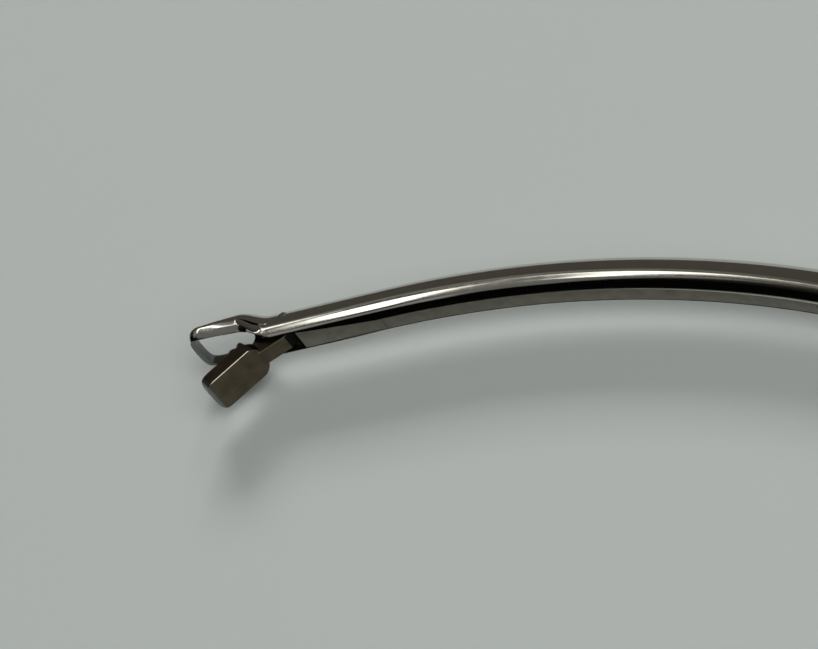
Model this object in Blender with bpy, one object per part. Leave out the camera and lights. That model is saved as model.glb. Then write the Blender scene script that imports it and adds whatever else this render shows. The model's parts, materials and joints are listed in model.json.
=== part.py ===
"""Arthroscopic punch: a ring-handled hand instrument with an up-curved 3.5 mm shaft, lying on its side.

The shaft and its ring-shaped fixed jaw are one bar of steel. A toothed moving jaw swings on a pin in
the shaft's end and bites down through the ring. A slider in the shaft's groove pulls it shut: a
straight front piece forks round the jaw's lever, a band runs round the bend, and a straight rear
piece ends in a yoke that the thumb handle's lever draws back. The finger handle carries the shaft.

Lengths are written in millimetres and multiplied by MM where a mesh is made. The body frame has +X
towards the handles along the rear shaft, +Y towards the finger rings and +Z up from the table. The
tip has a frame of its own, turned by the shaft's bend, whose origin lies on the shaft's axis beside
the jaw pivot.
"""

import math

import bmesh
import bpy
import numpy as np

MM = 0.001

# Shaft
SHAFT_R = 1.75
BEND_R = 93.0
BEND_DEG = 25.0
TIP_STRAIGHT = 9.4
REAR_STRAIGHT = 71.0
SHAFT_IN_BODY = 9.5

# Head: the ring-shaped fixed jaw
HEAD_HALF_W = 1.35 * SHAFT_R
HEAD_TOP = 1.43 * SHAFT_R
HEAD_START = -4.0
NECK_END = -1.2
NOSE_X = -9.14
NOSE_CORNER = 1.6
NOSE_POWER = 4.0
TOP_SLOPE = 0.38
EDGE_ROUND_SLOPE = 0.56
NOSE_EDGE_ROUND = 0.15
FOOT_RISE = 0.2
FOOT_SQUARING = 0.8
RIM_Y_NOSE = -0.42
RIM_Y_BASE = -0.59
RIM_TURN_X = -3.3
RIM_END_X = -0.7
RIM_NEAR_PIVOT = ((-2.6, -0.73), (-1.8, -1.05), (-0.95, -1.45))
RING_WALL = 0.36
NOSE_WALL = 0.50
WINDOW_REAR_X = -3.9
WINDOW_END_LENGTH = 1.9
RELIEF_FROM_Y = 0.45
RELIEF_SLOPE = 0.45

# Groove for the slider and the pocket for the jaw's lever
GROOVE_HALF_W_FRONT = 0.686 * SHAFT_R
GROOVE_HALF_W = 0.434 * SHAFT_R
GROOVE_FLOOR_Y = -0.195 * SHAFT_R
GROOVE_TAPER_FROM = 1.4
POCKET_HALF_W = 0.571 * SHAFT_R
POCKET_ROOF_Y = 0.657 * SHAFT_R
POCKET_ROOF_AT_JAW_Y = 1.36
POCKET_REAR_X = 3.25
POCKET_STEP_Y = -0.2

# Moving jaw, drawn closed about its pivot
PIVOT_X = 0.25
PIVOT_Y = -0.30
OPEN_DEG = 38.5
JAW_SIDE_PLAY = 0.12
JAW_NOSE_X = -8.76
JAW_BACK_Y = 0.06
JAW_THICK = 1.29
JAW_BACK_ROUND = 0.22
JAW_NOSE_LIFT = 0.40
JAW_NOSE_LIFT_LENGTH = 0.6
JAW_NOSE_POWER = 4.0
JAW_SHOULDER_X = -3.0
JAW_TAPER = 0.9
TAPER_POWER = 1.5
JAW_CORNER = 1.5
TOOTH_PITCH = 0.92
TOOTH_HEIGHT = 0.26
TOOTH_COUNT = 2
FIRST_TOOTH_X = -3.96
TROUGH_DEPTH = 0.5
TROUGH_WALL = 0.4
NECK_HALF_W = 0.469 * SHAFT_R
NECK_BACK_DEG = 12.0
NECK_TOP = (-2.2, 0.72)
NECK_LENGTH = 3.9
NECK_FACE_DROP = 0.35
BOSS_R = 0.64
BOSS_FLAT = 0.51
LEVER_HALF_T = 0.40
LEVER_HALF_W = 0.60
LEVER_TIP_R = 1.42
LEVER_ARM = 1.10

# Pins in the tip
PIVOT_PIN_R = 0.35
DRIVE_PIN_R = 0.30
PLUG_R = 0.33
PLUG_X = 0.05
PLUG_FACE_Z = 0.891 * SHAFT_R

# Slider
SLIDER_FRONT_X = 1.3
SLIDER_LUG_LENGTH = 0.9
CHEEK_INNER_Z = 0.45
CHEEK_BELOW_PIN = 0.38
CHEEK_AHEAD_OF_PIN = 0.48
SLIDER_SINK = 0.03

# Handle body
BODY_T = 7.0
BODY_NOSE_X = -14.0
BODY_TOP_Y = -6.2
BODY_NOSE_HALF_H = 3.6
SLOT_HALF_T = 1.5
SLOT_FRONT_X = -3.4
HANDLE_PIVOT_X = 2.0
HANDLE_PIVOT_Y = 4.0
HANDLE_ARM = 5.0
BODY_REAR_R = 8.0
EDGE_BEVEL = 0.7

# Rings and arms
RING_INNER_R = 11.5
RING_RADIAL = 4.6
FINGER_RING = (14.0, 68.0)
THUMB_RING_DISTANCE = 72.0
THUMB_RING_DEG = 51.0
THUMB_LEVER_T = 2.4
THUMB_ARM_FROM_R = 9.4
ARM_W = 6.4
ARM_T = 6.4

# Handle screws
SCREW_R = 1.7
SCREW_HEAD_R = 3.2
SCREW_HEAD_T = 1.0
WASHER_R = 2.8
WASHER_T = 0.22
COVER_T = 1.6
COVER_FROM_X = -3.36
COVER_TO_X = 2.9
COVER_SCREW_R = 0.5
COVER_SCREW_HEAD_R = 0.9
COVER_SCREW_HEAD_T = 0.7
COVER_SCREW_Y = -5.4
COVER_SCREW_TIP_COVER = 0.6
COVER_SCREWS = (("cover_screw_front", -2.3), ("cover_screw_rear", 1.8))
SET_SCREW_R = 1.0
SET_SCREW_X = -10.0
FERRULE_LENGTH = 4.5
FERRULE_FRONT_R = 2.3
FERRULE_REAR_R = 3.3
FERRULE_RIM = 0.8
YOKE_HALF_T = 1.3
YOKE_FRONT_X = -2.3
YOKE_REAR_X = 5.2
YOKE_TOP_Y = -3.6
YOKE_FOOT_Y = 0.7
YOKE_SOCKET = 2.2
LEVER_BALL_R = 1.2
LEVER_STEM_HALF_W = 0.85
TAIL_PIN_R = 0.32
TAIL_PIN_FROM_YOKE = 1.4
YOKE_NOTCH_Y = -2.45
YOKE_LIP_Y = 0.1

# Reach of a cutting tool past the tip's outside
BEYOND = 4.0

# Clearances
FIT = 0.02
RUN = 0.04
GAP = 0.06

# Finishes: colour and roughness
POLISHED = ((0.50, 0.49, 0.46), 0.18)
SATIN = ((0.42, 0.41, 0.38), 0.38)

ROUND = 32
CORNER_STEPS = 9
BEND_STEPS = 17

MID_Z = BODY_T / 2
JAW_HALF_W = HEAD_HALF_W - RING_WALL - JAW_SIDE_PLAY
BEND = math.radians(BEND_DEG)
OPEN = math.radians(OPEN_DEG)
BEND_REAR_X = BODY_NOSE_X - REAR_STRAIGHT
DRIVE_Y = PIVOT_Y + LEVER_ARM
TRAVEL = 2 * LEVER_ARM * math.tan(OPEN / 2)
SQUEEZE = 2 * math.asin(TRAVEL / 2 / HANDLE_ARM)
DRIVE_X = PIVOT_X - TRAVEL / 2


def material(name, look):
    """A piece's own Principled material, from its colour and roughness."""
    colour, roughness = look
    made = bpy.data.materials.new(name)
    made.use_nodes = True
    shader = made.node_tree.nodes["Principled BSDF"]
    shader.inputs["Base Color"].default_value = (*colour, 1.0)
    shader.inputs["Metallic"].default_value = 1.0
    shader.inputs["Roughness"].default_value = roughness
    return made


def smooth(t):
    """A step from 0 to 1 that leaves and arrives level."""
    t = np.clip(t, 0.0, 1.0)
    return t * t * (3 - 2 * t)


def empty(name, place, turn=0.0, parent=None):
    """A parent frame at a place in millimetres, turned about Z by an angle in radians."""
    made = bpy.data.objects.new(name, None)
    made.empty_display_size = 2 * MM
    made.location = [v * MM for v in place]
    made.rotation_euler = (0, 0, turn)
    made.parent = parent
    bpy.context.scene.collection.objects.link(made)
    return made


def solid(name, points, faces, look=None, parent=None):
    """An object from points in millimetres and faces, with its normals turned outwards."""
    mesh = bpy.data.meshes.new(name)
    mesh.from_pydata([[float(v) * MM for v in p] for p in points], [], faces)
    shaped = bmesh.new()
    shaped.from_mesh(mesh)
    bmesh.ops.remove_doubles(shaped, verts=shaped.verts, dist=1e-7)
    bmesh.ops.recalc_face_normals(shaped, faces=shaped.faces)
    shaped.to_mesh(mesh)
    shaped.free()
    mesh.shade_smooth()
    mesh.set_sharp_from_angle(angle=math.radians(32))
    made = bpy.data.objects.new(name, mesh)
    made.parent = parent
    if look:
        mesh.materials.append(material(name + "_steel", look))
    bpy.context.scene.collection.objects.link(made)
    return made


def loft(name, sections, look=None, parent=None, closed=False):
    """A skin over sections that all have the same number of points, capped at both ends or closed on itself."""
    sections = np.asarray(sections, float)
    count, around, _ = sections.shape
    faces = []
    for i in range(count if closed else count - 1):
        j = (i + 1) % count
        for k in range(around):
            m = (k + 1) % around
            faces.append((i * around + k, i * around + m, j * around + m, j * around + k))
    if not closed:
        faces.append(tuple(range(around)))
        faces.append(tuple(range((count - 1) * around, count * around)))
    return solid(name, sections.reshape(-1, 3), faces, look, parent)


def prism(name, outline, low, high, look=None, parent=None):
    """An outline in X and Y, carried along Z from low to high."""
    layers = [[(x, y, z) for x, y in outline] for z in (low, high)]
    return loft(name, layers, look, parent)


def circle(radius, centre=(0.0, 0.0), steps=ROUND, from_deg=0.0, to_deg=360.0):
    """Points of an arc; a full turn leaves out its last point."""
    full = abs(to_deg - from_deg) >= 360
    turns = np.radians(np.linspace(from_deg, to_deg, steps, endpoint=not full))
    return [(centre[0] + radius * math.cos(a), centre[1] + radius * math.sin(a)) for a in turns]


def turned(name, profile, centre, axis="Z", look=None, parent=None, steps=ROUND):
    """A turned piece: (radius, height) pairs along an axis through the centre."""
    sections = []
    for radius, height in profile:
        ring = []
        for u, v in circle(radius, steps=steps):
            at = {"X": (height, u, v), "Y": (u, height, v), "Z": (u, v, height)}[axis]
            ring.append([c + a for c, a in zip(centre, at)])
        sections.append(ring)
    return loft(name, sections, look, parent)


def combine(target, tool, operation="DIFFERENCE"):
    """A Boolean of the target with a hidden tool object."""
    tool.hide_render = True
    tool.display_type = "WIRE"
    step = target.modifiers.new(tool.name, "BOOLEAN")
    step.operation = operation
    step.solver = "EXACT"
    step.object = tool
    return target


def rounded_edges(target, width):
    """A bevel on the sharp edges of a plain prism."""
    step = target.modifiers.new("edges", "BEVEL")
    step.width = width * MM
    step.segments = 2
    step.limit_method = "ANGLE"
    step.angle_limit = math.radians(50)
    return target


def corner_section(x, half_w, upper, lower):
    """A rounded section across the shaft at x. upper and lower are (arc centre y, corner radius)."""
    points = []
    turns = np.linspace(0, math.pi / 2, CORNER_STEPS)
    for a in turns:
        points.append((x, upper[0] + upper[1] * math.cos(a), half_w - upper[1] * (1 - math.sin(a))))
    for a in turns:
        points.append((x, lower[0] - lower[1] * math.sin(a), half_w - lower[1] * (1 - math.cos(a))))
    mirrored = [(px, py, -pz) for px, py, pz in reversed(points)]
    return points + mirrored


def head_section(x):
    """The section of the bar at x: round in the shaft, swelling into a taller and wider head with a
    flat side, whose top slopes down to a blunt nose."""
    swell = float(smooth((NECK_END - x) / (NECK_END - HEAD_START)))
    half_w = SHAFT_R + (HEAD_HALF_W - SHAFT_R) * swell
    ahead = max(0.0, HEAD_START - x)
    top = SHAFT_R + (HEAD_TOP - SHAFT_R) * swell - TOP_SLOPE * ahead
    edge = max(NOSE_EDGE_ROUND, half_w - EDGE_ROUND_SLOPE * ahead)
    into_nose = (NOSE_X + NOSE_CORNER - x) / NOSE_CORNER
    if into_nose > 0:
        half_w *= max(0.02, 1 - min(1.0, into_nose) ** NOSE_POWER) ** (1 / NOSE_POWER)
    edge = min(edge, half_w)
    foot = SHAFT_R * (1 - FOOT_RISE * swell)
    foot_edge = min(SHAFT_R * (1 - FOOT_SQUARING * swell), half_w)
    return corner_section(x, half_w, (top - edge, edge), (foot_edge - foot, foot_edge))


def bend_point(turn, out=0.0):
    """A point of the shaft's axis in the bend, in the body frame; out moves it away from the centre."""
    radius = BEND_R + out
    return BEND_REAR_X - radius * math.sin(turn), radius * math.cos(turn) - BEND_R


def to_body(points):
    """Tip-frame points carried into the body frame."""
    x0, y0 = tip_origin()
    c, s = math.cos(BEND), math.sin(BEND)
    return [(x0 + c * x - s * y, y0 + s * x + c * y, z + MID_Z) for x, y, z in points]


def tip_origin():
    """Where the tip frame's origin lies in the body frame."""
    x, y = bend_point(BEND)
    return x - TIP_STRAIGHT * math.cos(BEND), y - TIP_STRAIGHT * math.sin(BEND)


def bent_sections(section, from_turn, to_turn, steps):
    """A section given as (y, z) pairs, carried round the bend between two turns from the rear."""
    out = []
    for turn in np.linspace(from_turn, to_turn, steps):
        ring = []
        for y, z in section:
            px, py = bend_point(turn, y)
            ring.append((px, py, z + MID_Z))
        out.append(ring)
    return out


def groove_half_width(x):
    """Half the groove's width at x in the tip frame: wide at the jaw, narrowing to the bend."""
    t = (x - GROOVE_TAPER_FROM) / (TIP_STRAIGHT - GROOVE_TAPER_FROM)
    return GROOVE_HALF_W_FRONT + (GROOVE_HALF_W - GROOVE_HALF_W_FRONT) * min(1.0, max(0.0, t))


def box_section(half_w, low, high):
    """A rectangle across the shaft as (y, z) pairs."""
    return [(low, -half_w), (low, half_w), (high, half_w), (high, -half_w)]


def whole_bar():
    """The uncut bar from nose to rear end as one list of sections in the body frame."""
    nose = NOSE_X + NOSE_CORNER * (1 - np.cos(np.linspace(0, math.pi / 2, 8)))
    ring = np.linspace(NOSE_X + NOSE_CORNER, HEAD_START, 7)[1:]
    neck = np.linspace(HEAD_START, NECK_END, 14)[1:]
    sections = [to_body(head_section(float(x))) for x in [*nose, *ring, *neck, TIP_STRAIGHT]]
    round_yz = [(y, z) for _, y, z in head_section(TIP_STRAIGHT)]
    sections += bent_sections(round_yz, BEND, 0.0, BEND_STEPS)[1:]
    sections.append([(BODY_NOSE_X + SHAFT_IN_BODY, y, z + MID_Z) for y, z in round_yz])
    return sections


def groove_cutter():
    """The slider's groove along the whole underside of the curve, as one long tool."""
    low = -BEYOND
    straight = [to_body([(x, y, z) for y, z in box_section(groove_half_width(x), low, GROOVE_FLOOR_Y)])
                for x in (GROOVE_TAPER_FROM - 1.2, GROOVE_TAPER_FROM, TIP_STRAIGHT - 0.6)]
    section = box_section(GROOVE_HALF_W, low, GROOVE_FLOOR_Y)
    half_step = BEND / (BEND_STEPS - 1) / 2
    bend = bent_sections(section, BEND - half_step, half_step, BEND_STEPS - 1)
    rear = [[(BODY_NOSE_X + SHAFT_IN_BODY + 1, y, z + MID_Z) for y, z in section]]
    return loft("groove_tool", straight + bend + rear)


def window_outline(y, half_w, rear_end):
    """The window's outline at a height: a blunt front, and a rear end that is square or an ellipse."""
    grow = max(0.0, y - RELIEF_FROM_Y) * RELIEF_SLOPE
    side = half_w + grow
    corner = NOSE_CORNER - 0.1
    front = NOSE_X + NOSE_WALL - grow * 0.6
    points = []
    for t in np.linspace(-1, 1, 25):
        z = side * math.sin(t * math.pi / 2)
        points.append((front + corner - corner * (1 - abs(z / side) ** NOSE_POWER) ** (1 / NOSE_POWER), y, z))
    for t in np.linspace(1, -1, 17):
        z = side * math.sin(t * math.pi / 2)
        points.append((WINDOW_REAR_X - rear_end * (1 - math.sqrt(max(0.0, 1 - (z / side) ** 2))), y, z))
    return points


def window_cutter(tip):
    """The ring's window: straight walls up to the relief, then widening, with a round end on the far side."""
    half_w = HEAD_HALF_W - RING_WALL
    heights = (-3.0, RELIEF_FROM_Y, HEAD_TOP + 0.5)
    return loft("window_tool", [window_outline(y, half_w, WINDOW_END_LENGTH) for y in heights], parent=tip)


def rim_cutter(tip):
    """Takes away the half of the head that the moving jaw fills."""
    outline = [(NOSE_X - 1, RIM_Y_NOSE), (RIM_TURN_X, RIM_Y_BASE), *RIM_NEAR_PIVOT, (RIM_END_X, -BEYOND), (NOSE_X - 1, -BEYOND)]
    return prism("rim_tool", outline, -BEYOND, BEYOND, parent=tip)


def shaft(tip, look):
    """The bar with its fixed jaw, groove, pocket and pin holes."""
    bar = loft("shaft", whole_bar(), look)
    combine(bar, rim_cutter(tip))
    combine(bar, window_cutter(tip))
    mouth_end = GROOVE_TAPER_FROM + FIT
    mouth = [(-5.0, -3.0), (mouth_end, -3.0), (mouth_end, POCKET_STEP_Y), (-5.0, POCKET_STEP_Y)]
    wide = GROOVE_HALF_W_FRONT + FIT
    combine(bar, prism("mouth_tool", mouth, -wide, wide, parent=tip))
    throat = [(WINDOW_REAR_X - 0.6, -0.9), (POCKET_REAR_X, -0.9), (POCKET_REAR_X, POCKET_ROOF_Y),
              (WINDOW_REAR_X - 0.6, POCKET_ROOF_Y)]
    combine(bar, prism("pocket_tool", throat, -POCKET_HALF_W, POCKET_HALF_W, parent=tip))
    combine(bar, flare_cutter(tip))
    combine(bar, groove_cutter())
    hole = [(PIVOT_PIN_R + FIT, -3.0), (PIVOT_PIN_R + FIT, 3.0)]
    combine(bar, turned("pivot_hole_tool", hole, (PIVOT_X, PIVOT_Y, 0), parent=tip))
    plug = [(PLUG_R + FIT, POCKET_HALF_W - 0.2), (PLUG_R + FIT, 3.0)]
    combine(bar, turned("plug_hole_tool", plug, (PLUG_X, DRIVE_Y, 0), parent=tip))
    return bar


def flare_cutter(tip):
    """Opens the window's rear into the pocket, wide enough for the jaw's shoulders as it closes."""
    side = HEAD_HALF_W - RING_WALL
    narrow = GROOVE_HALF_W_FRONT - 0.05
    sections = []
    front = WINDOW_REAR_X - 0.9 * WINDOW_END_LENGTH
    for x, share, top in ((-1.3, 0.0, 0.4), (-2.0, 0.32, 0.6), (-2.8, 0.65, 0.88), (-3.2, 0.78, 0.95),
                          (-3.4, 0.83, 1.02), (-3.6, 0.905, POCKET_ROOF_AT_JAW_Y), (front, 0.94, POCKET_ROOF_AT_JAW_Y)):
        half_w = narrow + (side - narrow) * share
        sections.append([(x, y, z) for y, z in box_section(half_w, -2.6, top)])
    return loft("flare_tool", sections, parent=tip)


def jaw_block(jaw, look):
    """The biting block as sections along its length: flat face up, rounded back, blunt nose."""
    corner = JAW_CORNER
    taper = JAW_SHOULDER_X - JAW_TAPER * (1 - np.sin(np.linspace(0, math.pi / 2, 6)))
    xs = [*(JAW_NOSE_X + corner * (1 - np.cos(np.linspace(0, math.pi / 2, 9)))), -6.2, -5.0, *taper]
    face_y = JAW_BACK_Y + JAW_THICK + TOOTH_HEIGHT
    sections = []
    for x in xs:
        into = max(0.0, (JAW_NOSE_X + corner - x) / corner)
        half_w = JAW_HALF_W * max(0.03, 1 - into ** JAW_NOSE_POWER) ** (1 / JAW_NOSE_POWER)
        behind = max(0.0, 1 - (JAW_SHOULDER_X - x) / JAW_TAPER)
        half_w -= (JAW_HALF_W - NECK_HALF_W) * (1 - (1 - behind ** TAPER_POWER) ** (1 / TAPER_POWER))
        into_lift = max(0.0, (JAW_NOSE_X + JAW_NOSE_LIFT_LENGTH - x) / JAW_NOSE_LIFT_LENGTH)
        lift = JAW_NOSE_LIFT * (1 - math.sqrt(max(0.0, 1 - into_lift ** 2)))
        back = JAW_BACK_Y + lift
        edge = min(JAW_BACK_ROUND, 0.8 * half_w)
        ring = [(x, face_y, half_w)]
        for a in np.linspace(0, math.pi / 2, 6):
            ring.append((x, back + edge * (1 - math.sin(a)), half_w - edge * (1 - math.cos(a))))
        sections.append(ring + [(px, py, -pz) for px, py, pz in reversed(ring)])
    return loft("moving_jaw", sections, look, jaw)


def tooth_cutter(jaw):
    """Lowers the face to the cutting edge, leaving saw teeth at its rear end."""
    face = JAW_BACK_Y + JAW_THICK
    peak = face + TOOTH_HEIGHT
    outline = [(JAW_NOSE_X - 1, face), (JAW_NOSE_X - 1, peak + 1), (JAW_SHOULDER_X + 2, peak + 1),
               (JAW_SHOULDER_X + 2, face - 0.3), (FIRST_TOOTH_X + 0.35, face - 0.3)]
    for i in range(TOOTH_COUNT):
        x = FIRST_TOOTH_X - i * TOOTH_PITCH
        outline += [(x + 0.1, peak), (x - 0.2, peak), (x - 0.42, face)]
    return prism("tooth_tool", outline, -3, 3, parent=jaw)


def jaw_neck(jaw):
    """The narrow neck from the block's shoulders to the boss round the pivot."""
    slope = math.radians(NECK_BACK_DEG)
    along = np.array([-math.cos(slope), math.sin(slope)])
    touch = BOSS_R * np.array([-math.sin(slope), -math.cos(slope)])
    deep = touch + along * NECK_LENGTH
    end = touch + along * (-BOSS_FLAT - touch[1]) / along[1]
    face_y = JAW_BACK_Y + JAW_THICK - NECK_FACE_DROP
    outline = [tuple(end), tuple(deep), (deep[0], face_y), (JAW_SHOULDER_X, face_y), NECK_TOP]
    flat_deg = math.degrees(math.asin(BOSS_FLAT / BOSS_R))
    outline += circle(BOSS_R, steps=14, from_deg=110, to_deg=-flat_deg)
    return prism("neck_tool", outline, -NECK_HALF_W, NECK_HALF_W, parent=jaw)


def jaw_lever(jaw):
    """The thin forked lever that the drive pin works in."""
    lean = math.degrees(OPEN / 2)
    half = math.degrees(math.asin(LEVER_HALF_W / LEVER_TIP_R))
    outline = circle(LEVER_TIP_R, steps=9, from_deg=90 - lean + half, to_deg=90 - lean - half)
    outline += [(BOSS_R * 0.5, -BOSS_R * 0.5), (-BOSS_R * 0.5, -BOSS_R * 0.5)]
    return prism("lever_tool", outline, -LEVER_HALF_T, LEVER_HALF_T, parent=jaw)


def moving_jaw(jaw, look):
    """The upper jaw: block, neck, boss and lever in one piece."""
    block = jaw_block(jaw, look)
    combine(block, tooth_cutter(jaw))
    wall = JAW_HALF_W - TROUGH_WALL
    face = JAW_BACK_Y + JAW_THICK
    trough = [(JAW_NOSE_X + 0.75, face + 1), (JAW_SHOULDER_X - 0.3, face + 1), (JAW_SHOULDER_X - 0.6, face - TROUGH_DEPTH),
              (JAW_NOSE_X + 1.15, face - TROUGH_DEPTH)]
    combine(block, prism("trough_tool", trough, -wall, wall, parent=jaw))
    combine(block, jaw_neck(jaw), "UNION")
    combine(block, jaw_lever(jaw), "UNION")
    hole = [(PIVOT_PIN_R + RUN, -2.0), (PIVOT_PIN_R + RUN, 2.0)]
    combine(block, turned("jaw_hole_tool", hole, (0, 0, 0), parent=jaw))
    lean = OPEN / 2
    up = np.array([math.sin(lean), math.cos(lean)])
    across = np.array([math.cos(lean), -math.sin(lean)])
    half = DRIVE_PIN_R + RUN
    fork = [tuple(up * r + across * w) for r, w in ((0.72, half), (2.0, half), (2.0, -half), (0.72, -half))]
    combine(block, prism("fork_tool", fork, -2, 2, parent=jaw))
    return block


def tip_pins(tip, look):
    """The jaw's pivot pin, the slider's drive pin and the plug over the hole it went in by."""
    reach = 2 * SHAFT_R
    pin = turned("jaw_pivot_pin", [(PIVOT_PIN_R, -reach), (PIVOT_PIN_R, reach)], (PIVOT_X, PIVOT_Y, 0), look=look, parent=tip)
    skin = [(SHAFT_R - FIT / 2, -2.0), (SHAFT_R - FIT / 2, 2.0)]
    combine(pin, turned("pin_skin_tool", skin, (PIVOT_X, 0, 0), "X", parent=tip, steps=4 * (CORNER_STEPS - 1)), "INTERSECT")
    end = POCKET_HALF_W - RUN
    turned("drive_pin", [(DRIVE_PIN_R, -end), (DRIVE_PIN_R, end)], (DRIVE_X, DRIVE_Y, 0), look=look, parent=tip)
    dome = [(PLUG_R, POCKET_HALF_W + FIT), (PLUG_R, PLUG_FACE_Z - 0.1), (PLUG_R - 0.1, PLUG_FACE_Z)]
    turned("pin_plug", dome, (PLUG_X, DRIVE_Y, 0), look=look, parent=tip, steps=24)


def slider_out_y(groove_w):
    """The slider's outer face lies just under the edges of its groove."""
    return SLIDER_SINK - math.sqrt(SHAFT_R ** 2 - groove_w ** 2)


def slider_front(tip, look):
    """The straight front piece: a tapering strip with a deep lug whose two cheeks hold the drive pin."""
    inner = GROOVE_FLOOR_Y - RUN
    sections = []
    for x in (SLIDER_FRONT_X, 3.4, 6.4, TIP_STRAIGHT - GAP / 2):
        half_w = groove_half_width(x + TRAVEL) - RUN
        sections.append([(x, y, z) for y, z in box_section(half_w, slider_out_y(groove_half_width(x)), inner)])
    strip = loft("slider_front", sections, look, tip)
    roof = POCKET_ROOF_Y - RUN
    wide = POCKET_HALF_W - RUN
    lug = [(SLIDER_FRONT_X, -0.8), (SLIDER_FRONT_X + SLIDER_LUG_LENGTH, -0.8), (SLIDER_FRONT_X + SLIDER_LUG_LENGTH, roof),
           (SLIDER_FRONT_X, roof)]
    combine(strip, prism("lug_tool", lug, -wide, wide, parent=tip), "UNION")
    low = DRIVE_Y - CHEEK_BELOW_PIN
    front = DRIVE_X - CHEEK_AHEAD_OF_PIN
    cheek = [(front, low), (SLIDER_FRONT_X + 0.3, low), (SLIDER_FRONT_X + 0.3, roof), (front, roof)]
    for side, (z0, z1) in (("near", (CHEEK_INNER_Z, wide)), ("far", (-wide, -CHEEK_INNER_Z))):
        combine(strip, prism("cheek_tool_" + side, cheek, z0, z1, parent=tip), "UNION")
    hole = [(DRIVE_PIN_R + FIT, -2.0), (DRIVE_PIN_R + FIT, 2.0)]
    combine(strip, turned("drive_hole_tool", hole, (DRIVE_X, DRIVE_Y, 0), parent=tip))
    return strip


def slider_bend(look):
    """The band round the bend, turning about the bend's centre."""
    section = box_section(GROOVE_HALF_W - RUN, slider_out_y(GROOVE_HALF_W), GROOVE_FLOOR_Y - RUN)
    axis = empty("bend_axis", (BEND_REAR_X, -BEND_R, MID_Z))
    trim = GAP / 2 / BEND_R
    rings = []
    for ring in bent_sections(section, trim, BEND - trim, BEND_STEPS):
        rings.append([(x - BEND_REAR_X, y + BEND_R, z - MID_Z) for x, y, z in ring])
    return loft("slider_bend", rings, look, axis)


def slider_rear(handle, look):
    """The straight rear strip, its tail held in the yoke by a pin."""
    section = box_section(GROOVE_HALF_W - RUN, slider_out_y(GROOVE_HALF_W), GROOVE_FLOOR_Y - RUN)
    tail = YOKE_FRONT_X + YOKE_SOCKET
    rings = [[(x, y, z) for y, z in section] for x in (BEND_REAR_X + GAP / 2, tail)]
    strip = loft("slider_rear", rings, look, handle)
    pin_x = YOKE_FRONT_X + TAIL_PIN_FROM_YOKE
    pin_y = (GROOVE_FLOOR_Y + slider_out_y(GROOVE_HALF_W)) / 2
    hole = [(TAIL_PIN_R + FIT, -3.0), (TAIL_PIN_R + FIT, 3.0)]
    combine(strip, turned("tail_hole_tool", hole, (pin_x, pin_y, 0), parent=handle))
    return pin_x, pin_y


def slider_yoke(handle, look, pin_x, pin_y):
    """The block at the slider's tail, notched for the ball of the thumb lever."""
    ball_x = HANDLE_PIVOT_X - HANDLE_ARM * math.sin(SQUEEZE / 2)
    notch = LEVER_BALL_R + RUN
    outline = [(YOKE_FRONT_X, YOKE_TOP_Y), (YOKE_REAR_X, YOKE_TOP_Y), (YOKE_REAR_X, YOKE_FOOT_Y), (ball_x + notch, YOKE_FOOT_Y),
               (ball_x + notch, YOKE_NOTCH_Y), (ball_x - notch, YOKE_NOTCH_Y), (ball_x - notch, YOKE_LIP_Y), (YOKE_FRONT_X, YOKE_LIP_Y)]
    yoke = prism("slider_yoke", outline, -YOKE_HALF_T, YOKE_HALF_T, look, handle)
    socket_w = GROOVE_HALF_W - RUN + FIT
    low, high = slider_out_y(GROOVE_HALF_W) - FIT, GROOVE_FLOOR_Y - RUN + FIT
    socket = [(YOKE_FRONT_X - 1, low), (YOKE_FRONT_X + YOKE_SOCKET + GAP, low), (YOKE_FRONT_X + YOKE_SOCKET + GAP, high), (YOKE_FRONT_X - 1, high)]
    combine(yoke, prism("socket_tool", socket, -socket_w, socket_w, parent=handle))
    hole = [(TAIL_PIN_R + FIT, -3.0), (TAIL_PIN_R + FIT, 3.0)]
    combine(yoke, turned("yoke_hole_tool", hole, (pin_x, pin_y, 0), parent=handle, steps=16))
    turned("yoke_pin", [(TAIL_PIN_R, -YOKE_HALF_T), (TAIL_PIN_R, YOKE_HALF_T)], (pin_x, pin_y, 0), look=look, parent=handle, steps=16)


def arm_sweep(name, route, widths, thicknesses, parent, look=None):
    """A bar of rounded section carried along a route in X and Y."""
    route = np.asarray(route, float)
    sections = []
    for i, here in enumerate(route):
        ahead = route[min(i + 1, len(route) - 1)] - route[max(i - 1, 0)]
        ahead = ahead / np.linalg.norm(ahead)
        side = np.array([-ahead[1], ahead[0]])
        ring = []
        for a in np.linspace(0, 2 * math.pi, 16, endpoint=False):
            u = math.copysign(abs(math.cos(a)) ** 0.6, math.cos(a)) * widths[i] / 2
            w = math.copysign(abs(math.sin(a)) ** 0.6, math.sin(a)) * thicknesses[i] / 2
            ring.append((*(here + side * u), w))
        sections.append(ring)
    return loft(name, sections, look, parent)


def curve_points(controls, steps):
    """A cubic Bezier curve through four control points."""
    p = np.asarray(controls, float)
    t = np.linspace(0, 1, steps)[:, None]
    return (1 - t) ** 3 * p[0] + 3 * (1 - t) ** 2 * t * p[1] + 3 * (1 - t) * t ** 2 * p[2] + t ** 3 * p[3]


def finger_loop(name, centre, parent, look=None):
    """A round ring for a finger, flat enough to lie steady."""
    middle = RING_INNER_R + RING_RADIAL / 2
    sections = []
    for turn in np.linspace(0, 2 * math.pi, 40, endpoint=False):
        ring = []
        for a in np.linspace(0, 2 * math.pi, 14, endpoint=False):
            r = middle + RING_RADIAL / 2 * math.cos(a)
            w = math.copysign(abs(math.sin(a)) ** 0.8, math.sin(a)) * BODY_T / 2
            ring.append((centre[0] + r * math.cos(turn), centre[1] + r * math.sin(turn), w))
        sections.append(ring)
    return loft(name, sections, look, parent, closed=True)


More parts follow.
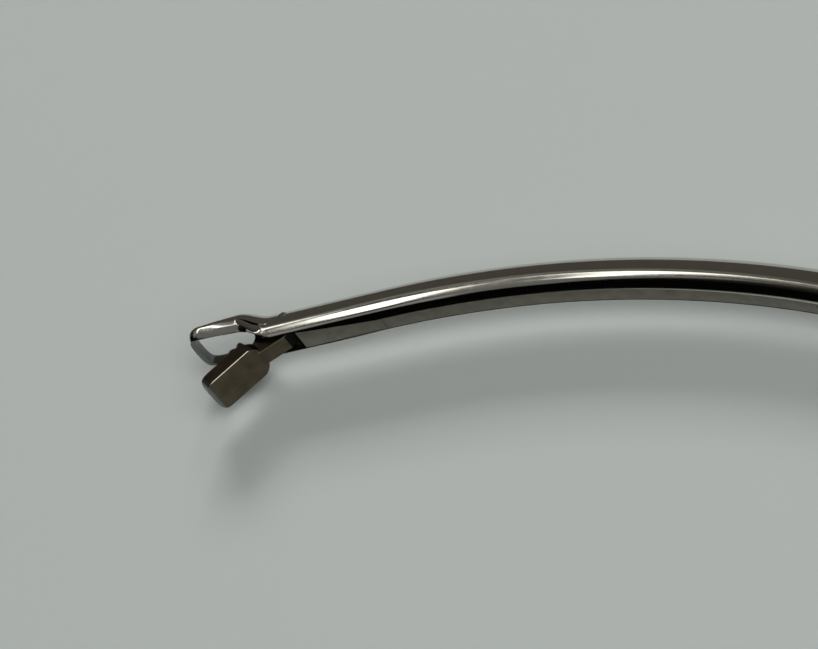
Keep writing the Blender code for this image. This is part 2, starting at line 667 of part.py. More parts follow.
def polar(centre, radius, from_down_deg):
    """A point at a distance from a centre, at an angle from +Y towards +X."""
    a = math.radians(from_down_deg)
    return centre[0] + radius * math.sin(a), centre[1] + radius * math.cos(a)


HANDLE_PIVOT = (HANDLE_PIVOT_X, HANDLE_PIVOT_Y)


def ring_entry(centre, towards):
    """A point inside the ring's own section on the side that faces a place."""
    away = np.subtract(towards, centre)
    away = away / np.linalg.norm(away)
    return np.asarray(centre) + away * (RING_INNER_R + RING_RADIAL / 2)


def body_outline():
    """The handle body seen from the side: a nose for the shaft, a level top and a round rear."""
    rear = circle(BODY_REAR_R, (HANDLE_PIVOT_X, BODY_TOP_Y + BODY_REAR_R), 18, -90, 112)
    return [(BODY_NOSE_X, -BODY_NOSE_HALF_H + 0.8), (BODY_NOSE_X + 4.4, BODY_TOP_Y), *rear, (-5.5, 11.5), (-8.5, 8.0),
            (BODY_NOSE_X + 2.5, 4.6), (BODY_NOSE_X, BODY_NOSE_HALF_H)]


def finger_arm_route():
    """The fixed arm's centre line from the body to the finger ring."""
    end = ring_entry(FINGER_RING, (4.0, 40.0))
    return curve_points([(-1.0, 7.0), (-3.0, 24.0), (4.0, 36.0), end], 12)


def fixed_handle(handle, look):
    """Body, finger arm and finger ring in one forging, slotted for the thumb lever."""
    body = rounded_edges(prism("fixed_handle", body_outline(), -MID_Z, MID_Z, look, handle), EDGE_BEVEL)
    route = finger_arm_route()
    widths = np.linspace(ARM_W + 2.5, ARM_W - 0.6, len(route))
    thick = np.linspace(ARM_T, ARM_T - 0.8, len(route))
    combine(body, arm_sweep("finger_arm_tool", route, widths, thick, handle), "UNION")
    combine(body, finger_loop("finger_ring_tool", FINGER_RING, handle), "UNION")
    combine(body, prism("slot_tool", slot_outline(), -SLOT_HALF_T, SLOT_HALF_T, parent=handle))
    bore = [(SHAFT_R + FIT, BODY_NOSE_X - 5), (SHAFT_R + FIT, SLOT_FRONT_X + 1)]
    combine(body, turned("shaft_bore_tool", bore, (0, 0, 0), "X", parent=handle))
    drill_handle(body, handle)
    return body


def slot_outline():
    """The slot between the body's cheeks, open at the top, the rear and below the pivot."""
    lever_room = circle(BODY_REAR_R - 1.0, HANDLE_PIVOT, 8, 200, 90)
    return [(SLOT_FRONT_X, BODY_TOP_Y - 2), (20, BODY_TOP_Y - 2), (20, 20), (HANDLE_PIVOT_X + 0.5, 20), *lever_room[::-1][:6],
            (SLOT_FRONT_X, 2.0)]


def drill_handle(body, handle):
    """The holes for the pivot screw and nut, the cover screws, the set screw and the stop screw."""
    through = [(SCREW_R + FIT, -5.0), (SCREW_R + FIT, 5.0)]
    combine(body, turned("pivot_bore_tool", through, (*HANDLE_PIVOT, 0), parent=handle))
    sink = [(SCREW_HEAD_R + RUN, MID_Z - SCREW_HEAD_T - RUN), (SCREW_HEAD_R + RUN, 6.0)]
    combine(body, turned("head_sink_tool", sink, (*HANDLE_PIVOT, 0), parent=handle))
    nut = [(SCREW_HEAD_R + RUN, -6.0), (SCREW_HEAD_R + RUN, -MID_Z + SCREW_HEAD_T + RUN)]
    combine(body, turned("nut_sink_tool", nut, (*HANDLE_PIVOT, 0), parent=handle))
    screw = [(SET_SCREW_R + FIT, SHAFT_R - 0.3), (SET_SCREW_R + FIT, 12.0)]
    combine(body, turned("set_hole_tool", screw, (SET_SCREW_X, 0, 0), "Y", parent=handle, steps=20))
    for name, x in COVER_SCREWS:
        combine(body, cover_screw_shape(name + "_tool", x, handle, FIT))


def cover_screw_shape(name, x, handle, play=0.0, look=None):
    """A screw through both cheeks and the cover, or with some play the hole for it."""
    top = MID_Z + (1.0 if play else -FIT)
    neck = MID_Z - COVER_SCREW_HEAD_T - play
    foot = FIT - MID_Z + COVER_SCREW_TIP_COVER - play
    profile = [(COVER_SCREW_R + play, foot), (COVER_SCREW_R + play, neck), (COVER_SCREW_HEAD_R + play, neck),
               (COVER_SCREW_HEAD_R + play, top)]
    return turned(name, profile, (x, COVER_SCREW_Y, 0), look=look, parent=handle, steps=20)


def slider_cover(handle, look):
    """The strip that closes the slot above the yoke, and the two screws that hold it."""
    half = SLOT_HALF_T - FIT
    outline = [(COVER_FROM_X, BODY_TOP_Y), (COVER_TO_X, BODY_TOP_Y + 0.1), (COVER_TO_X, BODY_TOP_Y + COVER_T),
               (COVER_FROM_X, BODY_TOP_Y + COVER_T)]
    cover = prism("slider_cover", outline, -half, half, look, handle)
    for name, x in COVER_SCREWS:
        hole = [(COVER_SCREW_R + FIT, -5.0), (COVER_SCREW_R + FIT, 5.0)]
        combine(cover, turned(name + "_cover_tool", hole, (x, COVER_SCREW_Y, 0), parent=handle, steps=20))
        screw = cover_screw_shape(name, x, handle, look=POLISHED)
        groove = [(x - 2, COVER_SCREW_Y - 0.2), (x + 2, COVER_SCREW_Y - 0.2), (x + 2, COVER_SCREW_Y + 0.2),
                  (x - 2, COVER_SCREW_Y + 0.2)]
        combine(screw, prism(name + "_driver_tool", groove, MID_Z - FIT - 0.35, MID_Z + 1, parent=handle))


def thumb_handle(thumb, look):
    """The moving handle, drawn at rest about its pivot: lever, arm and thumb ring."""
    centre = polar((0, 0), THUMB_RING_DISTANCE, THUMB_RING_DEG)
    lean = SQUEEZE / 2
    ball = (-HANDLE_ARM * math.sin(lean), -HANDLE_ARM * math.cos(lean))
    hub = circle(WASHER_R + 0.1, (0, 0), 24)
    disc = prism("thumb_handle", hub, -THUMB_LEVER_T / 2, THUMB_LEVER_T / 2, look, thumb)
    neck_dir = np.array(polar((0, 0), 1.0, THUMB_RING_DEG + 14))
    side = np.array([-neck_dir[1], neck_dir[0]])
    neck = [tuple(neck_dir * r + side * w) for r, w in ((0, 3.6), (THUMB_ARM_FROM_R + 2.5, 3.0), (THUMB_ARM_FROM_R + 2.5, -3.0), (0, -3.6))]
    combine(disc, prism("thumb_neck_tool", neck, -THUMB_LEVER_T / 2, THUMB_LEVER_T / 2, parent=thumb), "UNION")
    stem = [(ball[0] + LEVER_STEM_HALF_W, ball[1]), (1.6, 0), (-1.6, 0), (ball[0] - LEVER_STEM_HALF_W, ball[1])]
    combine(disc, prism("stem_tool", stem, -THUMB_LEVER_T / 2 + 0.05, THUMB_LEVER_T / 2 - 0.05, parent=thumb), "UNION")
    knob = prism("ball_tool", circle(LEVER_BALL_R, ball, 20), -THUMB_LEVER_T / 2 + 0.1, THUMB_LEVER_T / 2 - 0.1, parent=thumb)
    combine(disc, knob, "UNION")
    start = neck_dir * THUMB_ARM_FROM_R
    end = ring_entry(centre, neck_dir * 30)
    route = curve_points([start, neck_dir * 24, neck_dir * 38, end], 12)
    widths = np.linspace(ARM_W + 0.6, ARM_W - 0.6, len(route))
    thick = np.linspace(ARM_T, ARM_T - 0.8, len(route))
    combine(disc, arm_sweep("thumb_arm_tool", route, widths, thick, thumb), "UNION")
    combine(disc, finger_loop("thumb_ring_tool", centre, thumb), "UNION")
    hole = [(SCREW_R + RUN, -5.0), (SCREW_R + RUN, 5.0)]
    combine(disc, turned("thumb_bore_tool", hole, (0, 0, 0), parent=thumb))
    return disc


def handle_fasteners(handle, look):
    """Pivot screw and nut, thrust washers, shaft set screw and ferrule."""
    top = MID_Z - FIT
    screw = [(SCREW_R, -MID_Z + SCREW_HEAD_T + 2 * RUN), (SCREW_R, top - SCREW_HEAD_T), (SCREW_HEAD_R, top - SCREW_HEAD_T),
             (SCREW_HEAD_R, top - 0.15), (SCREW_HEAD_R - 0.15, top)]
    head = turned("pivot_screw", screw, (*HANDLE_PIVOT, 0), look=look, parent=handle)
    cross = [(-4, -0.35), (4, -0.35), (4, 0.35), (-4, 0.35)]
    placed = [(x + HANDLE_PIVOT_X, y + HANDLE_PIVOT_Y) for x, y in cross]
    combine(head, prism("driver_slot_tool", placed, top - 0.5, top + 1, parent=handle))
    nut = [(SCREW_HEAD_R, -top), (SCREW_HEAD_R, -MID_Z + SCREW_HEAD_T)]
    turned("pivot_nut", nut, (*HANDLE_PIVOT, 0), look=look, parent=handle)
    for name, side in (("washer_upper", 1), ("washer_lower", -1)):
        inner = THUMB_LEVER_T / 2 + FIT
        flat = sorted((side * inner, side * (inner + WASHER_T)))
        washer = turned(name, [(WASHER_R, flat[0]), (WASHER_R, flat[1])], (*HANDLE_PIVOT, 0), look=look, parent=handle)
        hole = [(SCREW_R + RUN, -5.0), (SCREW_R + RUN, 5.0)]
        combine(washer, turned(name + "_tool", hole, (*HANDLE_PIVOT, 0), parent=handle))
    cone = [(FERRULE_FRONT_R, BODY_NOSE_X - FERRULE_LENGTH), (FERRULE_REAR_R, BODY_NOSE_X - FERRULE_RIM),
            (FERRULE_REAR_R, BODY_NOSE_X - FIT)]
    collar = turned("ferrule", cone, (0, 0, 0), "X", look=look, parent=handle)
    bore = [(SHAFT_R + FIT, BODY_NOSE_X - 9), (SHAFT_R + FIT, BODY_NOSE_X + 2)]
    combine(collar, turned("ferrule_tool", bore, (0, 0, 0), "X", parent=handle))
    grub = [(SET_SCREW_R - 0.2, SHAFT_R + RUN), (SET_SCREW_R, SHAFT_R + 0.3), (SET_SCREW_R, 5.6)]
    turned("set_screw", grub, (SET_SCREW_X, 0, 0), "Y", look=look, parent=handle, steps=20)


def main():
    for old in list(bpy.data.objects):
        bpy.data.objects.remove(old, do_unlink=True)
    x, y = tip_origin()
    tip = empty("tip_frame", (x, y, MID_Z), BEND)
    jaw = empty("jaw_axis", (PIVOT_X, PIVOT_Y, 0), OPEN, tip)
    handle = empty("handle_frame", (0, 0, MID_Z))
    thumb = empty("thumb_axis", (*HANDLE_PIVOT, 0), 0.0, handle)
    shaft(tip, POLISHED)
    moving_jaw(jaw, SATIN)
    tip_pins(tip, POLISHED)
    slider_front(tip, SATIN)
    slider_bend(SATIN)
    pin_x, pin_y = slider_rear(handle, SATIN)
    slider_yoke(handle, SATIN, pin_x, pin_y)
    fixed_handle(handle, SATIN)
    slider_cover(handle, SATIN)
    thumb_handle(thumb, SATIN)
    handle_fasteners(handle, POLISHED)


main()
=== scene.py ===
# %% [markdown]
# # An arthroscopic punch of polished steel
#
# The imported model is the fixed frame: its pieces already have their real sizes and places. This script
# gives every piece its finish, adds what the plain solids leave out, and sets up the light and the camera.
# Everything is in metres.

import json
import math

import bmesh
import bpy
import numpy as np
from mathutils import Matrix, Vector


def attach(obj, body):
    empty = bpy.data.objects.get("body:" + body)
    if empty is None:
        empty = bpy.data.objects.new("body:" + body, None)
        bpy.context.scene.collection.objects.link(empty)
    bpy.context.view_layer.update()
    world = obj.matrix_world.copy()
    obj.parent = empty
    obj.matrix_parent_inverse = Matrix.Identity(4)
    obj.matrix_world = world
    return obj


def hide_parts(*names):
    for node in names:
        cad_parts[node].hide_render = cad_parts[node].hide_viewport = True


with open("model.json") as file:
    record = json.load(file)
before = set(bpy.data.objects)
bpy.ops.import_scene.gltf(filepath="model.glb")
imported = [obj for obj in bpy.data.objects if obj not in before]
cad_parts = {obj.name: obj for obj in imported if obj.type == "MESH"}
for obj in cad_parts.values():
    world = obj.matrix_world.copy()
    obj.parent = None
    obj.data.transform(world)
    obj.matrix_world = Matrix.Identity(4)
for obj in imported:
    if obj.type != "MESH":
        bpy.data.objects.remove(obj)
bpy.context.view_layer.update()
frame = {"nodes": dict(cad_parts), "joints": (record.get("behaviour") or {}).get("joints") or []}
MM = 0.001
print("pieces in the frame:", len(frame["nodes"]))

# %% [markdown]
# ## Where the tip is
#
# The shaft is bent, so the tip has a frame of its own. Its X axis is the line that the slider's front piece
# moves along, and the jaw's joint gives a known point in it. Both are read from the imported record's joints,
# so the camera and the new pieces follow the model.

# %% The tip's own frame
PIVOT_IN_TIP = Vector((0.25, -0.30, 0.0)) * MM


def joint(name):
    """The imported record's entry for one joint."""
    return next(j for j in frame["joints"] if j["name"] == name)


along = Vector(joint("head_slide")["axis"]).normalized()
upright = Vector((0.0, 0.0, 1.0))
across = upright.cross(along)
TIP = Matrix((along, across, upright)).transposed().to_4x4()
TIP.translation = Vector(joint("jaw_close")["pos_m"]) - TIP.to_3x3() @ PIVOT_IN_TIP
print("tip origin, mm:", [round(v / MM, 2) for v in TIP.translation])

# %% [markdown]
# ## The camera
#
# The photograph looks down at the tip from the slider's side. The angles and the lens were fitted to the
# shaft's outline. A long lens 250 mm away shows the tip and the first 50 mm of the shaft.

# %% Camera
IMAGE_WIDTH = 818
FOCAL_PX = 2881.45
SENSOR_MM = 36.0
CAMERA_DISTANCE = 0.25
CAMERA_AZIMUTH, CAMERA_ELEVATION, CAMERA_ROLL = 33.2, 45.0, -37.84
CAMERA_SHIFT_RIGHT, CAMERA_SHIFT_UP = 10.41 * MM, 0.641 * MM


def add_object(name, data):
    """A new object of the scene that shows the data."""
    made = bpy.data.objects.new(name, data)
    bpy.context.scene.collection.objects.link(made)
    return made


def direction(azimuth, elevation):
    """The unit vector at an azimuth a and elevation e in degrees: (sin a cos e, -cos a cos e, sin e)."""
    a, e = math.radians(azimuth), math.radians(elevation)
    return Vector((math.sin(a) * math.cos(e), -math.cos(a) * math.cos(e), math.sin(e)))


def tip_camera_matrix():
    """The camera's place in the tip's frame: backwards along azimuth and elevation, then rolled by r.
    right = level cos r + rise sin r, and top = rise cos r - level sin r."""
    a, r = math.radians(CAMERA_AZIMUTH), math.radians(CAMERA_ROLL)
    back = direction(CAMERA_AZIMUTH, CAMERA_ELEVATION)
    level = Vector((math.cos(a), math.sin(a), 0.0))
    rise = back.cross(level)
    right = level * math.cos(r) + rise * math.sin(r)
    top = rise * math.cos(r) - level * math.sin(r)
    placed = Matrix((right, top, back)).transposed().to_4x4()
    placed.translation = back * CAMERA_DISTANCE + right * CAMERA_SHIFT_RIGHT + top * CAMERA_SHIFT_UP
    return placed


camera = add_object("camera", bpy.data.cameras.new("camera"))
camera.matrix_world = TIP @ tip_camera_matrix()
camera.data.sensor_width = SENSOR_MM
camera.data.lens = FOCAL_PX / IMAGE_WIDTH * SENSOR_MM
camera.data.clip_start = 0.01
bpy.context.scene.camera = camera
print("lens, mm:", round(camera.data.lens, 1))

# %% [markdown]
# ## Floor and light
#
# Polished steel shows the room more than itself, so the room decides how it looks. In the photograph a pale
# cloth lies below, the room is dark, and long lamps overhead draw the bright line along the shaft. A plain
# pale floor stands for the cloth. Its weave could be modelled, but its light matters more than its threads.

# %% Floor
FLOOR_COLOUR = (0.425, 0.455, 0.44, 1.0)
FLOOR_HALF = 3.0
FLOOR_BELOW = 0.02 * MM
MATT_ROUGHNESS, MATT_SPECULAR = 0.9, 0.1


def matt_material(name, colour):
    """A matt material of one colour."""
    made = bpy.data.materials.new(name)
    made.use_nodes = True
    shader = made.node_tree.nodes["Principled BSDF"]
    shader.inputs["Base Color"].default_value = colour
    shader.inputs["Roughness"].default_value = MATT_ROUGHNESS
    shader.inputs["Specular IOR Level"].default_value = MATT_SPECULAR
    return made


floor_mesh = bpy.data.meshes.new("floor")
corners = FLOOR_HALF * np.array([[-1, -1, 0], [1, -1, 0], [1, 1, 0], [-1, 1, 0]], float)
floor_mesh.from_pydata(corners.tolist(), [], [(0, 1, 2, 3)])
floor = add_object("floor", floor_mesh)
floor.location.z = -FLOOR_BELOW
floor_mesh.materials.append(matt_material("pale_floor", FLOOR_COLOUR))
print("floor side, m:", 2 * FLOOR_HALF)

# %% [markdown]
# ### World
#
# What the steel shows between the lamps is the room. It could be a picture of a room, but three tones that
# change with direction are enough here: nearly black in front, dim behind, and pale just over the horizon,
# where the cloth goes on.

# %% World
DARK_SIDE = (0.0015, 0.0015, 0.0015, 1.0)
DIM_SIDE = (0.085, 0.080, 0.072, 1.0)
PALE_HORIZON = (0.40, 0.42, 0.41, 1.0)
DARK_BELOW_Y, DIM_ABOVE_Y = -0.62, 0.10
HORIZON_TOP = 0.07


def add_node(tree, kind, **values):
    """A new shader node with the values of its inputs. An underscore in a name stands for a space."""
    node = tree.nodes.new("ShaderNode" + kind)
    for name, value in values.items():
        node.inputs[name.replace("_", " ")].default_value = value
    return node


def ramp_between(tree, value, low, high, start, end):
    """A colour ramp from low to high as value goes from start to end."""
    spread = add_node(tree, "MapRange", From_Min=start, From_Max=end)
    mix = add_node(tree, "Mix")
    mix.data_type = "RGBA"
    tree.links.new(value, spread.inputs["Value"])
    tree.links.new(spread.outputs["Result"], mix.inputs["Factor"])
    for socket, colour in (("A", low), ("B", high)):
        if isinstance(colour, tuple):
            mix.inputs[socket].default_value = colour
        else:
            tree.links.new(colour, mix.inputs[socket])
    return mix.outputs["Result"]


def room_world():
    """A world whose colour depends on direction: pale at the horizon, dark in front and dim behind."""
    world = bpy.data.worlds.new("room")
    world.use_nodes = True
    tree = world.node_tree
    place, split = add_node(tree, "TexCoord"), add_node(tree, "SeparateXYZ")
    tree.links.new(place.outputs["Generated"], split.inputs[0])
    room = ramp_between(tree, split.outputs["Y"], DARK_SIDE, DIM_SIDE, DARK_BELOW_Y, DIM_ABOVE_Y)
    sky = ramp_between(tree, split.outputs["Z"], PALE_HORIZON, room, 0.0, HORIZON_TOP)
    tree.links.new(sky, tree.nodes["Background"].inputs["Color"])
    return world


bpy.context.scene.world = room_world()
bpy.context.scene.view_settings.view_transform = "Standard"
print("world:", bpy.context.scene.world.name)

# %% [markdown]
# ### Lamps
#
# Each bright streak in the photograph was followed back from the shaft to the direction that it comes from.
# Two long tubes draw the shaft's bright line, and three wide and dim ones stand for the ceiling beside them.
# Lamps of this kind could be glowing objects, but area lamps give cleaner light. The two tubes hang far away,
# so that all of the shaft sees them in the same direction. A fill panel lights the floor. A low panel behind
# casts the soft shadow, and it is hidden from reflections, because it would draw a line that isn't there.

# %% Lamps
SEEN_FROM_X = 5.5 * MM
TUBE_DISTANCE, CEILING_DISTANCE, PANEL_DISTANCE = 8.0, 1.2, 1.4


def panel(name, azimuth, elevation, width, height, radiance):
    """A rectangular lamp aimed at the tip. Its power is pi times radiance times area, so that radiance is
    what a mirror would show of it."""
    towards = direction(azimuth, elevation)
    lamp = add_object(name, bpy.data.lights.new(name, "AREA"))
    lamp.data.shape = "RECTANGLE"
    lamp.data.size, lamp.data.size_y = width, height
    lamp.data.energy = radiance * math.pi * width * height
    lamp.location = TIP.translation + towards * PANEL_DISTANCE
    lamp.rotation_mode = "QUATERNION"
    lamp.rotation_quaternion = towards.to_track_quat("Z", "Y")
    return lamp


def tube(name, start, end, width, radiance, distance=CEILING_DISTANCE):
    """A long lamp between two directions, given as azimuth and elevation, as seen from SEEN_FROM_X along the
    tip. It lies along the chord between them, and width is in degrees."""
    ends = [distance * direction(*towards) for towards in (start, end)]
    middle, chord = (ends[0] + ends[1]) / 2, ends[1] - ends[0]
    lamp = add_object(name, bpy.data.lights.new(name, "AREA"))
    lamp.data.shape = "RECTANGLE"
    lamp.data.size, lamp.data.size_y = chord.length, math.radians(width) * distance
    lamp.data.energy = radiance * math.pi * lamp.data.size * lamp.data.size_y
    out = middle.normalized()
    run = (chord - chord.dot(out) * out).normalized()
    turn = Matrix((run, out.cross(run), out)).transposed().to_4x4()
    turn.translation = TIP @ Vector((SEEN_FROM_X, 0.0, 0.0)) + middle
    lamp.matrix_world = turn
    return lamp


tube("near_tube", (-74.0, 66.3), (-20.0, 56.9), 2.0, 3.4, TUBE_DISTANCE)
tube("far_tube", (-91.0, 62.2), (-43.0, 57.6), 1.4, 3.2, TUBE_DISTANCE)
tube("second_tube", (-16.0, 51.0), (-7.0, 39.0), 5.0, 0.24)
tube("ceiling_near", (-54.0, 60.5), (-16.0, 45.0), 8.0, 0.17)
tube("ceiling_far", (-114.0, 57.0), (-62.0, 59.5), 4.5, 0.15)
panel("fill_panel", 75.0, 50.0, 1.1, 1.1, 4.2)
back_panel = panel("back_panel", -151.0, 26.5, 0.7, 0.34, 20.5)
back_panel.visible_glossy = False

# %% [markdown]
# ## Steel
#
# All the pieces are stainless steel, but each is finished its own way: the shaft is polished to a mirror, the
# jaw and the slider are ground and satin, the handles are brushed. One function builds the steel, and its
# values give each finish. Pictures of scratches would do it too, but a noise stretched along X has no seams.
# The mirror's edges aren't rounded by the shading, which would break its reflections into dashes. Some
# steels are painted light and shade: darker ones on the ring's far side and in the recesses, paler ones
# on the jaw's edges and nose.

# %% Steel materials
BLOTCH_SCALE, BLOTCH_DETAIL = 900.0, 3.0
GRAIN_ALONG, GRAIN_ACROSS, GRAIN_DETAIL, GRAIN_DEPTH = 400.0, 14000.0, 4.0, 0.002 * MM
SMOOTHEST, EDGE_SAMPLES = 0.02, 6


def steel(name, colour, roughness, grain=0.0, mottle=0.05, edge=0.0, blotch=0.07):
    """Metal whose slow noise moves its roughness by mottle and its tone by the share blotch. grain is the
    strength of the scratches, and edge is the radius, in millimetres, that the shading gives each edge."""
    made = bpy.data.materials.new(name)
    made.use_nodes = True
    tree = made.node_tree
    link = tree.links.new
    shader = tree.nodes["Principled BSDF"]
    shader.inputs["Metallic"].default_value = 1.0
    place = add_node(tree, "TexCoord").outputs["Object"]
    slow = add_node(tree, "TexNoise", Scale=BLOTCH_SCALE, Detail=BLOTCH_DETAIL)
    spread = add_node(tree, "MapRange", To_Min=max(SMOOTHEST, roughness - mottle), To_Max=roughness + mottle)
    tone = add_node(tree, "Mix")
    tone.data_type = "RGBA"
    tone.inputs["A"].default_value = (*(c * (1 - blotch) for c in colour), 1.0)
    tone.inputs["B"].default_value = (*(min(1.0, c * (1 + blotch)) for c in colour), 1.0)
    link(place, slow.inputs["Vector"])
    link(slow.outputs["Fac"], spread.inputs["Value"])
    link(spread.outputs["Result"], shader.inputs["Roughness"])
    link(slow.outputs["Fac"], tone.inputs["Factor"])
    link(tone.outputs["Result"], shader.inputs["Base Color"])
    if edge:
        broken_edge = add_node(tree, "Bevel", Radius=edge * MM)
        broken_edge.samples = EDGE_SAMPLES
        link(broken_edge.outputs["Normal"], shader.inputs["Normal"])
    if grain:
        turn = add_node(tree, "Mapping", Scale=(GRAIN_ALONG, GRAIN_ACROSS, GRAIN_ACROSS))
        lines = add_node(tree, "TexNoise", Scale=1.0, Detail=GRAIN_DETAIL)
        bump = add_node(tree, "Bump", Strength=grain, Distance=GRAIN_DEPTH)
        link(place, turn.inputs["Vector"])
        link(turn.outputs["Vector"], lines.inputs["Vector"])
        link(lines.outputs["Fac"], bump.inputs["Height"])
        if edge:
            link(broken_edge.outputs["Normal"], bump.inputs["Normal"])
        link(bump.outputs["Normal"], shader.inputs["Normal"])
    return made


MIRROR_STEEL = steel("mirror_steel", (0.56, 0.545, 0.475), 0.075, mottle=0.02)
# Painted shade: the ring's far side, nose and inner walls get this darker and rougher steel.
RING_SHADE_STEEL = steel("ring_shade_steel", (0.17, 0.175, 0.16), 0.30, mottle=0.04)
JAW_STEEL = steel("jaw_steel", (0.138, 0.112, 0.078), 0.30, grain=0.5, edge=0.08, blotch=0.45)
# Painted highlight: a lighter steel on the jaw's rounded back edges.
EDGE_HIGHLIGHT_STEEL = steel("edge_highlight_steel", (0.24, 0.225, 0.18), 0.22, blotch=0.4)
# Painted reflection: a paler steel on the jaw's nose.
NOSE_REFLECTION_STEEL = steel("nose_reflection_steel", (0.20, 0.205, 0.19), 0.34, blotch=0.3)
SLIDER_STEEL = steel("slider_steel", (0.22, 0.20, 0.168), 0.34, grain=0.5, edge=0.04, blotch=0.35)
HANDLE_STEEL = steel("handle_steel", (0.55, 0.54, 0.51), 0.30, grain=0.3, edge=0.25, blotch=0.12)
SCREW_STEEL = steel("screw_steel", (0.60, 0.59, 0.56), 0.18, edge=0.06)
# Painted shade: a near-black steel for the shaft's cavity, the jaw's boss and the slider's lug and cheeks.
PAINTED_SHADE_STEEL = steel("painted_shade_steel", (0.014, 0.013, 0.012), 0.55)

# %% [markdown]
# ## Making surfaces
#
# Each new piece is a grid of points worked out with numpy: a section is carried along a path, and a skin
# joins each section to the next. Pieces that are milled in the real instrument, such as the shaft with its
# window, start as such a skin and then lose the metal that the cutter takes. A Boolean does that here, with
# its result written into the mesh, because one smooth bar keeps one unbroken reflection past every cut.

# %% Skins and cuts
SHARP_ABOVE = math.radians(34)
SAME_PLACE = 1e-7
LEVEL = 0.9999


def grid_faces(rows, columns, capped):
    """Quads between neighbouring rows of a grid whose columns run round, with two caps if wanted."""
    i, k = np.meshgrid(np.arange(rows - 1), np.arange(columns), indexing="ij")
    m = (k + 1) % columns
    quads = np.stack([i * columns + k, i * columns + m, (i + 1) * columns + m, (i + 1) * columns + k], -1)
    faces = quads.reshape(-1, 4).tolist()
    if capped:
        faces.append(list(range(columns)))
        faces.append(list(range((rows - 1) * columns, rows * columns)))
    return faces


def skin(name, sections, place, loop=False):
    """A closed object from sections (rows, points, 3) in millimetres, put where the matrix says. The first
    and last are capped, or with loop, joined to each other."""
    sections = np.asarray(sections, float)
    if loop:
        sections = np.concatenate([sections, sections[:1]])
    rows, columns, _ = sections.shape
    turn = np.array(place)
    points = sections.reshape(-1, 3) * MM @ turn[:3, :3].T + turn[:3, 3]
    mesh = bpy.data.meshes.new(name)
    mesh.from_pydata(points.tolist(), [], grid_faces(rows, columns, not loop))
    shaped = bmesh.new()
    shaped.from_mesh(mesh)
    bmesh.ops.remove_doubles(shaped, verts=shaped.verts, dist=SAME_PLACE)
    bmesh.ops.recalc_face_normals(shaped, faces=shaped.faces)
    shaped.to_mesh(mesh)
    shaped.free()
    return add_object(name, mesh)


def combine(target, tools, operation="DIFFERENCE"):
    """Booleans of the target with the tools, one after another, written into its mesh. The tools are then
    removed, and so is every edge that has no length."""
    for tool in tools:
        step = target.modifiers.new(tool.name, "BOOLEAN")
        step.operation, step.solver, step.object = operation, "EXACT", tool
    bpy.context.view_layer.update()
    result = bpy.data.meshes.new_from_object(target.evaluated_get(bpy.context.evaluated_depsgraph_get()))
    target.modifiers.clear()
    old, target.data = target.data, result
    bpy.data.meshes.remove(old)
    for tool in tools:
        bpy.data.objects.remove(tool)
    shaped = bmesh.new()
    shaped.from_mesh(result)
    bmesh.ops.dissolve_degenerate(shaped, edges=shaped.edges, dist=SAME_PLACE)
    shaped.to_mesh(result)
    print(target.name, "open edges after the cuts:", sum(len(edge.link_faces) != 2 for edge in shaped.edges))
    shaped.free()
    return target


def crisp_flats(mesh):
    """Ends the smooth shading at the rim of the level sides, so that a ground flat stays flat."""
    shaped = bmesh.new()
    shaped.from_mesh(mesh)
    for edge in shaped.edges:
        level = [abs(face.normal.z) > LEVEL for face in edge.link_faces]
        if any(level) and not all(level):
            edge.smooth = False
    shaped.to_mesh(mesh)
    shaped.free()


def finish_piece(piece, finish, body, node, areas=(), flat_sides=False):
    """Shades a piece, gives it its steel, hides the CAD node that it stands for, and hangs it on the body it
    rides on.
    areas holds tests and steels that paint light or shade on those faces, some also rougher: a test takes face
    centres and normals in the tip's frame, in millimetres, and says which faces have that steel. Its limits on
    a normal are cosines."""
    mesh = piece.data
    mesh.materials.clear()
    mesh.materials.append(finish)
    index = np.zeros(len(mesh.polygons), np.int32)
    centres, normals = np.empty(3 * len(mesh.polygons)), np.empty(3 * len(mesh.polygons))
    mesh.polygons.foreach_get("center", centres)
    mesh.polygons.foreach_get("normal", normals)
    back = np.array(TIP.inverted())
    centres = (centres.reshape(-1, 3) @ back[:3, :3].T + back[:3, 3]) / MM
    normals = normals.reshape(-1, 3) @ back[:3, :3].T
    for place, (test, painted_area_steel) in enumerate(areas, 1):
        mesh.materials.append(painted_area_steel)
        index[test(*centres.T, normals)] = place
    mesh.polygons.foreach_set("material_index", index)
    mesh.shade_smooth()
    mesh.set_sharp_from_angle(angle=SHARP_ABOVE)
    if flat_sides:
        crisp_flats(mesh)
    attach(piece, body)
    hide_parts(node)
    print(piece.name, "faces:", len(mesh.polygons), "by finish:", np.bincount(index).tolist())
    return piece


def box_rows(xs, half_widths, lows, highs):
    """Rectangular sections at xs, as rows of four points."""
    xs, half_widths, lows, highs = np.broadcast_arrays(xs, half_widths, lows, highs)
    rows = [(xs, lows, -half_widths), (xs, lows, half_widths),
            (xs, highs, half_widths), (xs, highs, -half_widths)]
    return np.stack([np.stack(corner, -1) for corner in rows], 1)


def plate(name, outline, low, high, place):
    """An outline in X and Y carried along Z from low to high."""
    outline = np.asarray(outline, float)
    layers = [np.column_stack([outline, np.full(len(outline), z)]) for z in (low, high)]
    return skin(name, layers, place)


def arc(radius, centre=(0.0, 0.0), steps=96, start=0.0, end=360.0):
    """Points of an arc in a plane; a full circle leaves out its last point."""
    turn = np.radians(np.linspace(start, end, steps, endpoint=abs(end - start) < 360))
    return np.column_stack([centre[0] + radius * np.cos(turn), centre[1] + radius * np.sin(turn)])


# %% [markdown]
# ## The shaft and its ring-shaped jaw
#
# On the real instrument the shaft and the lower jaw are one bar. It is round in the shaft, swells into a
# taller and wider head with flat sides, and slopes down to a blunt nose. The bar could be joined from a tube
# and a ring, but the bright line of the lamp runs over both without a break, so it is one skin: at each place
# along the bar, a section with two upper and two lower corner arcs whose sizes change smoothly.
#
# RAIL_TURNS is the ring's side as the reflections show it. SIGHT_SHARE lowers the top where its edge gets
# sharper, which keeps the outline that the camera sees.

